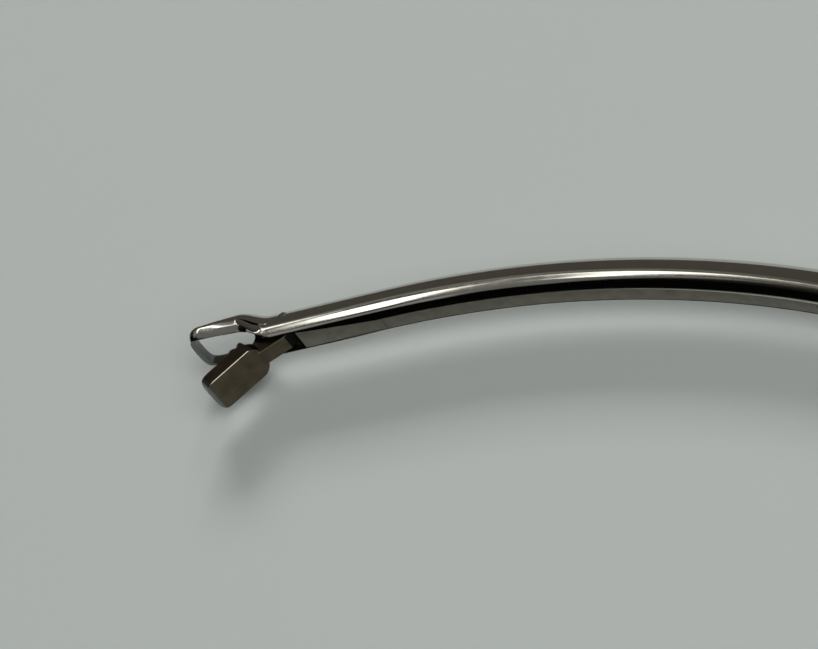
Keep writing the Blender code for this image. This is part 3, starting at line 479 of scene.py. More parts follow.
# %% The bar's sections
SHAFT_R = 1.75
BEND_R, BEND_DEG = 93.0, 25.0
TIP_STRAIGHT, REAR_END = 9.4, 80.5
HEAD_HALF_W, HEAD_TOP = 1.40 * SHAFT_R, 1.43 * SHAFT_R
HEAD_START, NECK_END = -4.3, -1.05
NOSE_X, NOSE_CORNER, NOSE_POWER = -9.113, 1.6, 4.0
SLOPE_FROM_X, TOP_SLOPE, BULGE_SLOPE, RAIL_ROUND, RAIL_FROM_X = -4.0, 0.38, 0.56, 0.27, -6.5
SIGHT_SHARE = 0.533
LEAST_BULGE, LEAST_BLUNT, LEAST_SCALE = 0.15, 0.02, 0.3
CORNER_POINTS, TURN_POINTS = 25, 7
RAIL_TURNS = [(0, 16, 0.38), (16, 24, 2.4), (24, 37, 0.12), (37, 42, 6.0), (42, 90, 0.08)]
RIM_NOSE_Y, RIM_BASE_Y, RIM_BASE_X = -0.16, -0.33, -3.3
BEND_SECTIONS, REAR_MIDDLE = 61, 40.0


def smooth(t):
    """A step from 0 to 1 that leaves and arrives level: t squared times (3 minus 2t)."""
    t = np.clip(t, 0.0, 1.0)
    return t * t * (3 - 2 * t)


def soft_step(t):
    """A step from 0 to 1 without a kink in its slope: 6 t^5 - 15 t^4 + 10 t^3."""
    t = np.clip(t, 0.0, 1.0)
    return t ** 3 * (t * (6 * t - 15) + 10)


def half_to_rows(x, y, z):
    """Whole sections from their near halves: (stations, points) arrays from the top to the foot."""
    y, z = np.concatenate([y, y[:, ::-1]], 1), np.concatenate([z, -z[:, ::-1]], 1)
    return np.stack([np.broadcast_to(x[:, None], y.shape), y, z], -1)


def rail_profile():
    """The rail's side below its widest point: arcs joined end to end, each with a start angle, an end angle
    and a radius R. Along an arc the surface falls by R sin and draws in by R cos of its tilt."""
    tilt, fall, draw = [np.zeros(1)], [np.zeros(1)], [np.zeros(1)]
    for start, end, radius in RAIL_TURNS:
        t = np.radians(np.linspace(start, end, TURN_POINTS))[1:]
        first = math.radians(start)
        tilt.append(t)
        fall.append(fall[-1][-1] + radius * (np.sin(t) - math.sin(first)))
        draw.append(draw[-1][-1] + radius * (math.cos(first) - np.cos(t)))
    return np.concatenate(tilt), np.concatenate(fall), np.concatenate(draw)


def lower_half(ring_share, side_w, side_y, rim_y):
    """The side below its widest point, by how far the surface tilts to the underside. In the shaft it is a
    quarter circle. In the ring it is a narrow facet, a ground face and the turn into the cutting rim."""
    share, side_w, side_y, rim_y = (v[:, None] for v in (ring_share, side_w, side_y, rim_y))
    tilt, fall, draw = (v[None, :] for v in rail_profile())
    scale = np.maximum(LEAST_SCALE, (side_y - rim_y) / fall.max())
    y = (1 - share) * -SHAFT_R * np.sin(tilt) + share * (side_y - scale * fall)
    z = (1 - share) * SHAFT_R * np.cos(tilt) + share * (side_w - np.minimum(scale, 1.0) * draw)
    return y, z


def head_rows(x):
    """The bar's sections from the nose to the shaft. The top is an arc round upper_y with radius edge."""
    swell = soft_step((NECK_END - x) / (NECK_END - HEAD_START))
    side_w = SHAFT_R + (HEAD_HALF_W - SHAFT_R) * swell
    ahead = np.maximum(0.0, SLOPE_FROM_X - x)
    top = SHAFT_R + (HEAD_TOP - SHAFT_R) * swell - TOP_SLOPE * ahead
    edge = RAIL_ROUND + (SHAFT_R - RAIL_ROUND) * smooth((x - RAIL_FROM_X) / (NECK_END - RAIL_FROM_X))
    bulge = np.maximum(LEAST_BULGE, side_w - BULGE_SLOPE * ahead)
    top = top - SIGHT_SHARE * (bulge - edge)
    upper_y = top - edge
    rim_y = np.interp(x, [NOSE_X, RIM_BASE_X], [RIM_NOSE_Y, RIM_BASE_Y])
    a = np.linspace(0, math.pi / 2, CORNER_POINTS)[None, :]
    y_up = upper_y[:, None] + edge[:, None] * np.cos(a)
    z_up = side_w[:, None] - edge[:, None] * (1 - np.sin(a))
    y_low, z_low = lower_half(swell, side_w, upper_y, rim_y)
    into_nose = np.clip((NOSE_X + NOSE_CORNER - x) / NOSE_CORNER, 0, 1)
    blunt = np.maximum(LEAST_BLUNT, 1 - into_nose ** NOSE_POWER) ** (1 / NOSE_POWER)
    y, z = np.concatenate([y_up, y_low], 1), np.concatenate([z_up, z_low], 1)
    return half_to_rows(x, y, np.maximum(0.0, z - (side_w * (1 - blunt))[:, None]))


def bend_rows(section, turns):
    """A (y, z) section carried round the bend: x = front + (R + y) sin t, y' = (R + y) cos t - R."""
    y, z = section[None, :, 0], section[None, :, 1]
    t = np.asarray(turns)[:, None]
    return np.stack([TIP_STRAIGHT + (BEND_R + y) * np.sin(t), (BEND_R + y) * np.cos(t) - BEND_R,
                     np.broadcast_to(z, (len(turns), section.shape[0]))], -1)


def after_bend(section, lengths):
    """The same section carried on straight behind the bend."""
    end = math.radians(BEND_DEG)
    start = bend_rows(section, [end])
    way = np.array([math.cos(end), -math.sin(end), 0.0])
    return start + np.asarray(lengths, float)[:, None, None] * way


nose = NOSE_X + NOSE_CORNER * (1 - np.cos(np.linspace(0, math.pi / 2, 28)))
ring = np.linspace(NOSE_X + NOSE_CORNER, HEAD_START, 34)[1:]
# No section of the neck may lie on a corner of the rim's cutter, or the cut leaves open edges: 50 avoid it.
neck = np.linspace(HEAD_START, NECK_END, 50)[1:]
front = np.linspace(NECK_END, TIP_STRAIGHT, 12)[1:]
head = head_rows(np.concatenate([nose, ring, neck, front]))
round_section = head[-1][:, 1:]
bend_turns = np.radians(np.linspace(0, BEND_DEG, BEND_SECTIONS))[1:]
bar = np.concatenate([head, bend_rows(round_section, bend_turns),
                      after_bend(round_section, [REAR_MIDDLE, REAR_END])])
print("bar sections:", bar.shape[0], "points round:", bar.shape[1])

# %% [markdown]
# ### Window, mouth and groove
#
# The window is where the moving jaw passes through the ring. Its walls are straight up to the cutting rim's
# relief and then open outwards. The mouth behind it lets the moving jaw's neck swing in, and a groove for the
# slider runs along the whole shaft. The openings could be left out of the skin itself, but then it would need
# seams. Each is a cutter of its own, as in the workshop.

# %% Cutters
RING_WALL, NOSE_WALL = 0.52, 0.50
WINDOW_REAR_X, WINDOW_END_LENGTH = -3.9, 1.9
RELIEF_FROM_Y, RELIEF_SLOPE = 0.45, 0.45
WINDOW_POINTS, WINDOW_CORNER, FRONT_RELIEF = 61, NOSE_CORNER - 0.1, 0.6
OUTSIDE = 4.0
RIM = [(NOSE_X - 1, -0.42), (RIM_BASE_X, -0.59), (-2.6, -0.73), (-1.8, -1.05), (-0.95, -1.45),
       (-0.7, -OUTSIDE), (NOSE_X - 1, -OUTSIDE)]
GROOVE_FRONT_W, GROOVE_W, GROOVE_FLOOR_Y = 0.686 * SHAFT_R, 0.434 * SHAFT_R, -0.195 * SHAFT_R
GROOVE_TAPER_FROM, GROOVE_STEPS = 1.4, 60
POCKET_W, POCKET_ROOF_Y, POCKET_REAR_X = 0.571 * SHAFT_R, 0.657 * SHAFT_R, 3.25
MOUTH_FRONT_X, MOUTH_ROOF_Y, MOUTH_GAP = -5.0, -0.2, 0.02
THROAT_FRONT_X, THROAT_FLOOR_Y = -4.5, -0.9
PLUG_R, PLUG_X, PLUG_Y, PLUG_FLOOR_Z = 0.35, 0.05, 0.80, 0.8


def window_rows(heights):
    """The window's outline at each height: a blunt front and a round end, wider above the relief."""
    rows = []
    share = np.sin(np.linspace(-1, 1, WINDOW_POINTS) * math.pi / 2)
    for y in heights:
        grow = max(0.0, y - RELIEF_FROM_Y) * RELIEF_SLOPE
        side = HEAD_HALF_W - RING_WALL + grow
        blunt = np.clip(1 - np.abs(share) ** NOSE_POWER, 0, 1) ** (1 / NOSE_POWER)
        front_x = NOSE_X + NOSE_WALL - grow * FRONT_RELIEF + WINDOW_CORNER * (1 - blunt)
        rear_x = WINDOW_REAR_X - WINDOW_END_LENGTH * (1 - np.sqrt(np.clip(1 - share ** 2, 0, 1)))
        x = np.concatenate([front_x, rear_x[::-1]])
        z = np.concatenate([share * side, share[::-1] * side])
        rows.append(np.column_stack([x, np.full(len(x), y), z]))
    return np.array(rows)


def flare():
    """The widening of the mouth towards the window, as boxes whose width and roof grow forwards."""
    side, narrow = HEAD_HALF_W - RING_WALL, GROOVE_FRONT_W - 0.05
    x = np.array([-1.3, -2.0, -2.8, -3.2, -3.4, -3.6, WINDOW_REAR_X - 0.9 * WINDOW_END_LENGTH])
    share = np.array([0.0, 0.32, 0.65, 0.78, 0.83, 0.905, 0.94])
    roof = np.array([0.4, 0.6, 0.88, 0.95, 1.02, 1.36, 1.36])
    return skin("flare", box_rows(x, narrow + (side - narrow) * share, -2.6, roof), TIP)


def groove_tool():
    """The slider's groove, wide at the jaw and narrowing to the bend."""
    x = np.array([GROOVE_TAPER_FROM - 1.2, GROOVE_TAPER_FROM, TIP_STRAIGHT - 0.6])
    wide = np.array([GROOVE_FRONT_W, GROOVE_FRONT_W, GROOVE_W])
    section = box_rows(np.zeros(1), GROOVE_W, -OUTSIDE, GROOVE_FLOOR_Y)[0][:, 1:]
    half = math.radians(BEND_DEG) / (2 * GROOVE_STEPS)
    turns = np.linspace(half, math.radians(BEND_DEG) - half, GROOVE_STEPS)
    rows = [box_rows(x, wide, -OUTSIDE, GROOVE_FLOOR_Y), bend_rows(section, turns),
            after_bend(section, [REAR_END + 1])]
    return skin("groove", np.concatenate(rows), TIP)


def round_tool(name, radius, centre, low, high):
    """A drilled hole's tool along Z."""
    return plate(name, arc(radius, centre), low, high, TIP)


def rectangle(left, low, right, high):
    """The four corners of a rectangle, in order from its left and low one."""
    return [(left, low), (right, low), (right, high), (left, high)]


mouth = rectangle(MOUTH_FRONT_X, -OUTSIDE, GROOVE_TAPER_FROM + MOUTH_GAP, MOUTH_ROOF_Y)
throat = rectangle(THROAT_FRONT_X, THROAT_FLOOR_Y, POCKET_REAR_X, POCKET_ROOF_Y)
shaft_piece = skin("polished_shaft", bar, TIP)
combine(shaft_piece, [
    plate("rim", RIM, -OUTSIDE, OUTSIDE, TIP),
    skin("window", window_rows([-3.0, RELIEF_FROM_Y, HEAD_TOP + 0.5]), TIP),
    plate("mouth", mouth, -GROOVE_FRONT_W - MOUTH_GAP, GROOVE_FRONT_W + MOUTH_GAP, TIP),
    plate("throat", throat, -POCKET_W, POCKET_W, TIP),
    flare(),
    groove_tool(),
    round_tool("plug_hole", PLUG_R, (PLUG_X, PLUG_Y), PLUG_FLOOR_Z, 3.0),
])
print("shaft faces:", len(shaft_piece.data.polygons))

CAVITY_HALF_W, CAVITY_LOW_Y, CAVITY_TOP_Y, CAVITY_FRONT_X = 1.95, -1.6, 1.40, -5.4
WINDOW_BASE_X, INNER_NOSE_HALF_W, RIM_LOW_Y, RIM_REAR_X = -3.45, 1.98, -0.8, -3.2
FAR_LIMB_X, FAR_LIMB_Z = -4.2, -1.5


def in_cavity(x, y, z, normal):
    """True in the mouth, pocket and groove, away from the bar's polished outside, where shade is painted
    near-black.
    """
    inside = (np.abs(z) < CAVITY_HALF_W) & (y > CAVITY_LOW_Y) & (y < CAVITY_TOP_Y)
    inside = inside & (x > CAVITY_FRONT_X) & (x < POCKET_REAR_X + 0.1)
    faces_in = normal[:, 1] * y + normal[:, 2] * z < 0.02
    return inside & faces_in & ((x > WINDOW_BASE_X) | (normal[:, 1] < -0.5))


def in_window(x, y, z, normal):
    """True on the ring's inner walls and on the ground land of its rim, which get a darker steel as painted
    shade.
    """
    window = (x > NOSE_X + 0.3) & (x < WINDOW_BASE_X)
    inner_wall = normal[:, 2] * np.sign(z) < -0.3
    inner_nose = (normal[:, 0] > 0.5) & (np.abs(z) < INNER_NOSE_HALF_W)
    land = (normal[:, 1] < -0.95) & (y > RIM_LOW_Y) & (x < RIM_REAR_X)
    return (window & (inner_wall | inner_nose)) | land


def on_far_limb(x, y, z, normal):
    """True on the nose and on the far side of the ring, which get a rougher steel than the near side, darker
    as painted shade.
    """
    return (x < FAR_LIMB_X) & ((normal[:, 0] < -0.8) | (z < FAR_LIMB_Z)) & (normal[:, 2] < 0.5)


# The ring's far side and window walls get a darker steel and the cavity a near-black one, all painted shade.
finish_piece(shaft_piece, MIRROR_STEEL, "instrument", "shaft",
             [(on_far_limb, RING_SHADE_STEEL), (in_window, RING_SHADE_STEEL), (in_cavity, PAINTED_SHADE_STEEL)])

# %% [markdown]
# ## The moving jaw
#
# The upper jaw is ground from one piece: a biting block with a rounded back, a neck, and the boss that turns
# on the pin. It could be carved from a box, but its back and sides run in one sweep. So the block is a skin
# whose half width and back change along its length, with a blunt nose and shoulders that draw in to the neck.
# Two saw teeth stand at the base of each cutting edge.

# %% The jaw's block and neck
OPEN = math.radians(38.5)
PIVOT_X, PIVOT_Y = 0.25, -0.30
JAW_HALF_W = HEAD_HALF_W - RING_WALL - 0.09
JAW_NOSE_X, JAW_BACK_Y, JAW_THICK, JAW_CORNER, JAW_NOSE_POWER = -8.76, 0.06, 1.29, 1.5, 4.0
JAW_BACK_ROUND, NOSE_LIFT, NOSE_LIFT_LENGTH = 0.12, 0.45, 0.6
SHOULDER_X, SHOULDER_TAPER, TAPER_POWER = -3.0, 0.9, 1.5
TOOTH_PITCH, TOOTH_HEIGHT, FIRST_TOOTH_X = 0.92, 0.26, -3.96
TOOTH_TIP = [(0.16, -0.05), (0.08, -0.01), (0, 0), (-0.1, -0.01), (-0.18, -0.05)]
TOOTH_FOOT = [(-0.32, 0.06), (-0.46, 0)]
LEAST_JAW_BLUNT, BLOCK_MIDDLE_XS = 0.03, [-6.2, -5.0]
NECK_HALF_W, NECK_BACK, BOSS_R, BOSS_FLAT = 0.469 * SHAFT_R, math.radians(12.0), 0.64, 0.51
NECK_LENGTH, NECK_UNDER_CUT, NECK_CORNER = 3.9, 0.35, (-2.2, 0.72)
LEVER_R, LEVER_HALF_W, LEVER_HALF_T, LEVER_FOOT = 1.42, 0.60, 0.4, 0.32
FORK_FLOOR_R, FORK_END_R, FORK_HALF_W = 0.72, 2.0, 0.34
TROUGH_DEPTH, TROUGH_WALL, PIN_BORE_R = 0.5, 0.4, 0.39

JAW = TIP @ Matrix.Translation(Vector((PIVOT_X, PIVOT_Y, 0)) * MM) @ Matrix.Rotation(OPEN, 4, "Z")
CUT_Y = JAW_BACK_Y + JAW_THICK


def jaw_rows():
    """Sections along the block: flat on the biting side, with rounded edges along the back."""
    into = np.cos(np.linspace(0, math.pi / 2, 30))
    taper = SHOULDER_X - SHOULDER_TAPER * (1 - np.sin(np.linspace(0, math.pi / 2, 24)))
    x = np.concatenate([JAW_NOSE_X + JAW_CORNER * (1 - into), BLOCK_MIDDLE_XS, taper])
    ahead = np.clip((JAW_NOSE_X + JAW_CORNER - x) / JAW_CORNER, 0, 1)
    half_w = JAW_HALF_W * np.maximum(LEAST_JAW_BLUNT, 1 - ahead ** JAW_NOSE_POWER) ** (1 / JAW_NOSE_POWER)
    behind = np.clip(1 - (SHOULDER_X - x) / SHOULDER_TAPER, 0, 1)
    half_w = half_w - (JAW_HALF_W - NECK_HALF_W) * (1 - (1 - behind ** TAPER_POWER) ** (1 / TAPER_POWER))
    lift = np.clip((JAW_NOSE_X + NOSE_LIFT_LENGTH - x) / NOSE_LIFT_LENGTH, 0, 1)
    back = JAW_BACK_Y + NOSE_LIFT * (1 - np.sqrt(1 - lift ** 2))
    edge = np.minimum(JAW_BACK_ROUND, 0.8 * half_w)
    a = np.linspace(0, math.pi / 2, 12)[None, :]
    biting = np.full((len(x), 1), CUT_Y + TOOTH_HEIGHT)
    y = np.concatenate([biting, back[:, None] + edge[:, None] * (1 - np.sin(a))], 1)
    z = np.concatenate([half_w[:, None], half_w[:, None] - edge[:, None] * (1 - np.cos(a))], 1)
    return half_to_rows(x, y, z)


def tooth_outline():
    """What lies above the cutting edge: a saw with rounded peaks at the rear end."""
    peak = CUT_Y + TOOTH_HEIGHT
    points = [(JAW_NOSE_X - 1, CUT_Y), (JAW_NOSE_X - 1, peak + 1), (SHOULDER_X + 2, peak + 1),
              (SHOULDER_X + 2, CUT_Y - 0.3), (FIRST_TOOTH_X + 0.35, CUT_Y - 0.3)]
    for x in (FIRST_TOOTH_X, FIRST_TOOTH_X - TOOTH_PITCH):
        points += [(x + dx, peak + dy) for dx, dy in TOOTH_TIP]
        points += [(x + dx, CUT_Y + dy) for dx, dy in TOOTH_FOOT]
    return points


def neck_outline():
    """The neck's side view: a back that rises at 12 degrees, and the boss round the pin with its flat."""
    way = np.array([-math.cos(NECK_BACK), math.sin(NECK_BACK)])
    touch = BOSS_R * np.array([-math.sin(NECK_BACK), -math.cos(NECK_BACK)])
    end = touch + way * (-BOSS_FLAT - touch[1]) / way[1]
    deep = touch + way * NECK_LENGTH
    foot_y = CUT_Y - NECK_UNDER_CUT
    flat = math.degrees(math.asin(BOSS_FLAT / BOSS_R))
    corners = [end, deep, (deep[0], foot_y), (SHOULDER_X, foot_y), NECK_CORNER]
    return np.concatenate([corners, arc(BOSS_R, steps=40, start=110, end=-flat)])


def lever_outline():
    """The forked lever above the boss, with the slot that the drive pin works in."""
    lean, half = math.degrees(OPEN / 2), math.degrees(math.asin(LEVER_HALF_W / LEVER_R))
    tip = arc(LEVER_R, steps=17, start=90 - lean + half, end=90 - lean - half)
    return np.concatenate([tip, [(LEVER_FOOT, -LEVER_FOOT), (-LEVER_FOOT, -LEVER_FOOT)]])


def fork_outline():
    """The slot in the lever, along the lever's own direction."""
    up = np.array([math.sin(OPEN / 2), math.cos(OPEN / 2)])
    side = np.array([math.cos(OPEN / 2), -math.sin(OPEN / 2)])
    corners = rectangle(FORK_FLOOR_R, FORK_HALF_W, FORK_END_R, -FORK_HALF_W)
    return [up * r + side * w for r, w in corners]


def trough_outline():
    """The hollow between the cutting edges."""
    floor_y = CUT_Y - TROUGH_DEPTH
    return [(JAW_NOSE_X + 0.75, CUT_Y + 1), (SHOULDER_X - 0.3, CUT_Y + 1),
            (SHOULDER_X - 0.6, floor_y), (JAW_NOSE_X + 1.15, floor_y)]


jaw_piece = skin("biting_jaw", jaw_rows(), JAW)
wall = JAW_HALF_W - TROUGH_WALL
combine(jaw_piece, [plate("teeth", tooth_outline(), -3, 3, JAW),
                    plate("trough", trough_outline(), -wall, wall, JAW)])
combine(jaw_piece, [plate("neck", neck_outline(), -NECK_HALF_W, NECK_HALF_W, JAW),
                    plate("lever", lever_outline(), -LEVER_HALF_T, LEVER_HALF_T, JAW)], "UNION")
combine(jaw_piece, [plate("fork", fork_outline(), -2, 2, JAW),
                    plate("pin_hole", arc(PIN_BORE_R), -2, 2, JAW)])

BOSS_FROM_X, EDGE_TO_X, NOSE_TO_X = 0.10, PIVOT_X - 2.2, PIVOT_X - 5.0


def on_boss(x, y, z, normal):
    """True on the boss and lever, behind the neck's end, where shade is painted near-black."""
    return x > BOSS_FROM_X


def on_edge(x, y, z, normal):
    """True on the rounded edges between the jaw's back and its two sides, which get a lighter steel as a
    painted highlight.
    """
    to_back = normal[:, 0] * math.sin(OPEN) - normal[:, 1] * math.cos(OPEN)
    return (to_back > 0.35) & (to_back < 0.90) & (np.abs(normal[:, 2]) > 0.3) & (x < EDGE_TO_X)


def on_jaw_nose(x, y, z, normal):
    """True on the jaw's nose, which gets a paler steel than the rest as a painted reflection."""
    to_nose = -normal[:, 0] * math.cos(OPEN) - normal[:, 1] * math.sin(OPEN)
    return (to_nose > 0.30) & (x < NOSE_TO_X)


# The jaw's edges get a painted highlight, its nose a painted reflection, and its boss painted shade.
finish_piece(jaw_piece, JAW_STEEL, "jaw", "moving_jaw",
             [(on_edge, EDGE_HIGHLIGHT_STEEL), (on_jaw_nose, NOSE_REFLECTION_STEEL), (on_boss, PAINTED_SHADE_STEEL)])

# %% [markdown]
# ## The slider
#
# The slider fills the groove in the shaft. It is one flat strip in three lengths: a front piece with a
# slanting end, a band round the bend and a straight rear piece. The front piece and the band are each a
# section with slightly rounded edges, carried along the same path as the shaft, and the rear piece keeps the
# imported model's shape. A modifier could bend a straight strip, but not exactly along the groove. The lug
# and cheeks that drive the jaw are joined to the front piece.

# %% Slider strips
DRIVE_ABOVE_PIVOT = 1.10
RUN, TRAVEL = 0.04, 2 * DRIVE_ABOVE_PIVOT * math.tan(OPEN / 2)
SLIDER_SINK, STRIP_EDGE = 0.03, 0.05
SLIDER_FRONT_X, GAP = 1.3, 0.06
LUG_LENGTH, LUG_LOW_Y = 0.9, -0.8
CHEEK_AHEAD, CHEEK_UNDER, CHEEK_INTO, CHEEK_INNER_Z, DRIVE_BORE_R = 0.48, 0.38, 0.3, 0.45, 0.32
FRONT_SECTIONS, BAND_SECTIONS = 12, 72


def strip_section(half_w, out_y, in_y):
    """A flat section with rounded outer edges, as (y, z) points."""
    a = np.linspace(0, math.pi / 2, 5)
    y = np.concatenate([[in_y], out_y + STRIP_EDGE * (1 - np.sin(a))])
    z = np.concatenate([[half_w], half_w - STRIP_EDGE * (1 - np.cos(a))])
    return np.column_stack([np.concatenate([y, y[::-1]]), np.concatenate([z, -z[::-1]])])


def outer_y(groove_w):
    """The strip's outer face lies just under the edges of its groove."""
    return SLIDER_SINK - math.sqrt(SHAFT_R ** 2 - groove_w ** 2)


def groove_half_width(x):
    """Half the groove's width along the front piece."""
    t = min(1.0, max(0.0, (x - GROOVE_TAPER_FROM) / (TIP_STRAIGHT - GROOVE_TAPER_FROM)))
    return GROOVE_FRONT_W + (GROOVE_W - GROOVE_FRONT_W) * t


def front_rows():
    """Sections of the tapering front piece."""
    rows = []
    for x in np.linspace(SLIDER_FRONT_X, TIP_STRAIGHT - GAP / 2, FRONT_SECTIONS):
        half_w = groove_half_width(x + TRAVEL) - RUN
        section = strip_section(half_w, outer_y(groove_half_width(x)), GROOVE_FLOOR_Y - RUN)
        rows.append(np.column_stack([np.full(len(section), x), section]))
    return rows


front_piece = skin("slider_nose", front_rows(), TIP)
roof, wide = POCKET_ROOF_Y - RUN, POCKET_W - RUN
drive_x, drive_y = PIVOT_X - TRAVEL / 2, PIVOT_Y + DRIVE_ABOVE_PIVOT
lug = rectangle(SLIDER_FRONT_X, LUG_LOW_Y, SLIDER_FRONT_X + LUG_LENGTH, roof)
cheek = rectangle(drive_x - CHEEK_AHEAD, drive_y - CHEEK_UNDER, SLIDER_FRONT_X + CHEEK_INTO, roof)
combine(front_piece, [plate("lug", lug, -wide, wide, TIP),
                      plate("near_cheek", cheek, CHEEK_INNER_Z, wide, TIP),
                      plate("far_cheek", cheek, -wide, -CHEEK_INNER_Z, TIP)], "UNION")
combine(front_piece, [round_tool("drive_hole", DRIVE_BORE_R, (drive_x, drive_y), -2, 2)])


def in_throat(x, y, z, normal):
    """True on the lug and cheeks, deeper than the strip's outer face and ahead of its slanting end, where
    shade is painted near-black.
    """
    return (x < SLIDER_FRONT_X + 0.01) | (y > GROOVE_FLOOR_Y - RUN - 0.02)


# The lug and cheeks get painted shade.
finish_piece(front_piece, SLIDER_STEEL, "slider_head", "slider_front", [(in_throat, PAINTED_SHADE_STEEL)])

narrow = strip_section(GROOVE_W - RUN, outer_y(GROOVE_W), GROOVE_FLOOR_Y - RUN)
trim = GAP / 2 / BEND_R
band_turns = np.linspace(trim, math.radians(BEND_DEG) - trim, BAND_SECTIONS)
band_piece = skin("slider_band", bend_rows(narrow, band_turns), TIP)
finish_piece(band_piece, SLIDER_STEEL, "slider_band", "slider_bend")

# %% [markdown]
# ## The handles
#
# Each handle is a forging: a flat body or lever, an arm of rounded section and a finger ring, ground and
# brushed. The arm is a section carried along a curve, and it swells where it meets the ring, as a forged
# joint does. The ring is the same kind of section carried round a circle. The parts are joined and then
# milled and drilled like the real one.

# %% Handle surfaces
MID_Z = 3.5
HANDLE = Matrix.Translation(Vector((0, 0, MID_Z)) * MM)
RING_INNER_R, RING_RADIAL, ARM_SIZE = 11.5, 4.6, 6.4
PIVOT = (2.0, 4.0)
SLOT_HALF_T, HALF_LEVER_T = 1.5, 1.2
ARM_STEPS, ARM_POINTS, ARM_POWER = 90, 64, 0.6
ARM_NARROWS, ARM_THINS, ROOT_LENGTH = 0.6, 0.8, 4.0
SWELL_REACH, SWELL_W, SWELL_T = 2.6, 3.0, 0.7
RING_STEPS, RING_POINTS, RING_POWER = 180, 48, 0.8
TURNED_STEPS, DRILL_POINTS, BORE_GAP = 96, 64, 0.02
THUMB = HANDLE @ Matrix.Translation(Vector((*PIVOT, 0)) * MM)


def full_turn(count):
    """Evenly spread angles of a full turn, without its end."""
    return np.linspace(0, 2 * math.pi, count, endpoint=False)


def rounded(angles, power):
    """A circle drawn towards a square: the sign of the sine or cosine times its size to a power."""
    return [np.sign(f) * np.abs(f) ** power for f in (np.cos(angles), np.sin(angles))]


def bezier(controls, steps):
    """A cubic curve by four control points: the sum of the Bernstein terms of t times the points."""
    p, t = np.asarray(controls, float), np.linspace(0, 1, steps)[:, None]
    return (1 - t) ** 3 * p[0] + 3 * (1 - t) ** 2 * t * p[1] + 3 * (1 - t) * t ** 2 * p[2] + t ** 3 * p[3]


def arm(name, controls, start_w, start_t, root_t, place):
    """An arm: at each point of the curve, a rounded section across it. Width and thickness fall evenly
    towards the ring, swell by a bell curve at the ring, and start at the root's thickness."""
    route = bezier(controls, ARM_STEPS)
    ahead = np.gradient(route, axis=0)
    ahead /= np.linalg.norm(ahead, axis=1)[:, None]
    side = np.stack([-ahead[:, 1], ahead[:, 0]], 1)
    step = np.linalg.norm(np.diff(route, axis=0), axis=1)
    run = np.concatenate([[0], np.cumsum(step)])
    share, left = run / run[-1], run[-1] - RING_RADIAL / 2 - run
    swell = np.exp(-(np.maximum(left, 0) / SWELL_REACH) ** 2)
    width = start_w + (ARM_SIZE - ARM_NARROWS - start_w) * share + SWELL_W * swell
    thick = start_t - ARM_THINS * share + SWELL_T * swell
    thick = root_t + (thick - root_t) * smooth(run / ROOT_LENGTH)
    u, w = rounded(full_turn(ARM_POINTS), ARM_POWER)
    flat = route[:, None] + side[:, None] * (u[None, :, None] * width[:, None, None] / 2)
    return skin(name, np.concatenate([flat, (w[None] * thick[:, None] / 2)[..., None]], 2), place)


def finger_ring(name, centre, place):
    """A ring: r = middle + radial half cos(a), z = half height times sin(a) drawn towards a square."""
    turn, a = full_turn(RING_STEPS)[:, None], full_turn(RING_POINTS)
    r = RING_INNER_R + RING_RADIAL / 2 * (1 + np.cos(a))[None, :]
    z = np.broadcast_to(rounded(a, RING_POWER)[1] * MID_Z, (RING_STEPS, RING_POINTS))
    rows = np.stack([centre[0] + r * np.cos(turn), centre[1] + r * np.sin(turn), z], -1)
    return skin(name, rows, place, loop=True)


def ring_side(centre, towards):
    """The middle of the ring's section on the side that faces a place."""
    away = np.subtract(towards, centre)
    return np.asarray(centre) + away / np.linalg.norm(away) * (RING_INNER_R + RING_RADIAL / 2)


def turned(name, profile, place):
    """A profile of (x, radius) points carried round the X axis."""
    x, radius = np.asarray(profile, float).T
    turn = full_turn(TURNED_STEPS)[:, None]
    x = np.broadcast_to(x, (TURNED_STEPS, len(x)))
    rows = np.stack([x, radius * np.cos(turn), radius * np.sin(turn)], -1)
    return skin(name, rows, place, loop=True)


def bar_tool(name, radius, low, high, place):
    """A drill along X from low to high."""
    turn = arc(radius, steps=DRILL_POINTS)
    return skin(name, [np.column_stack([np.full(DRILL_POINTS, x), turn]) for x in (low, high)], place)


def drill(name, radius, centre, low, high):
    """A drill along Z in the handle."""
    return plate(name, arc(radius, centre, steps=DRILL_POINTS), low, high, HANDLE)


# %% [markdown]
# ### The fixed handle
#
# The body is a flat plate with rounded edges, and the finger's arm and ring grow out of it. All of it could be
# modelled as one mesh by hand, but solids joined by a Boolean keep the sides level and the bores true. The
# slot and the bores are cut last, as on the forging.

# %% The fixed handle
BODY_NOSE_X, BODY_TOP_Y, BODY_REAR_R, EDGE_ROUND = -14.0, -6.2, 8.0, 0.7
FINGER_RING = (14.0, 68.0)
SINK_R, SINK_DEPTH, BOLT_R = 3.24, 1.04, 1.72
SET_SCREW_X, SET_SCREW_R, SLOT_FRONT_X, BORE_END_X = -10.0, 1.02, -3.4, -2.4
COVER_SCREWS = {"front": (-2.3, -5.4), "rear": (1.8, -5.4)}
COVER_BORE_R, COVER_HEAD_R, COVER_HEAD_DEPTH, COVER_BORE_FLOOR = 0.52, 0.92, 0.72, -2.9

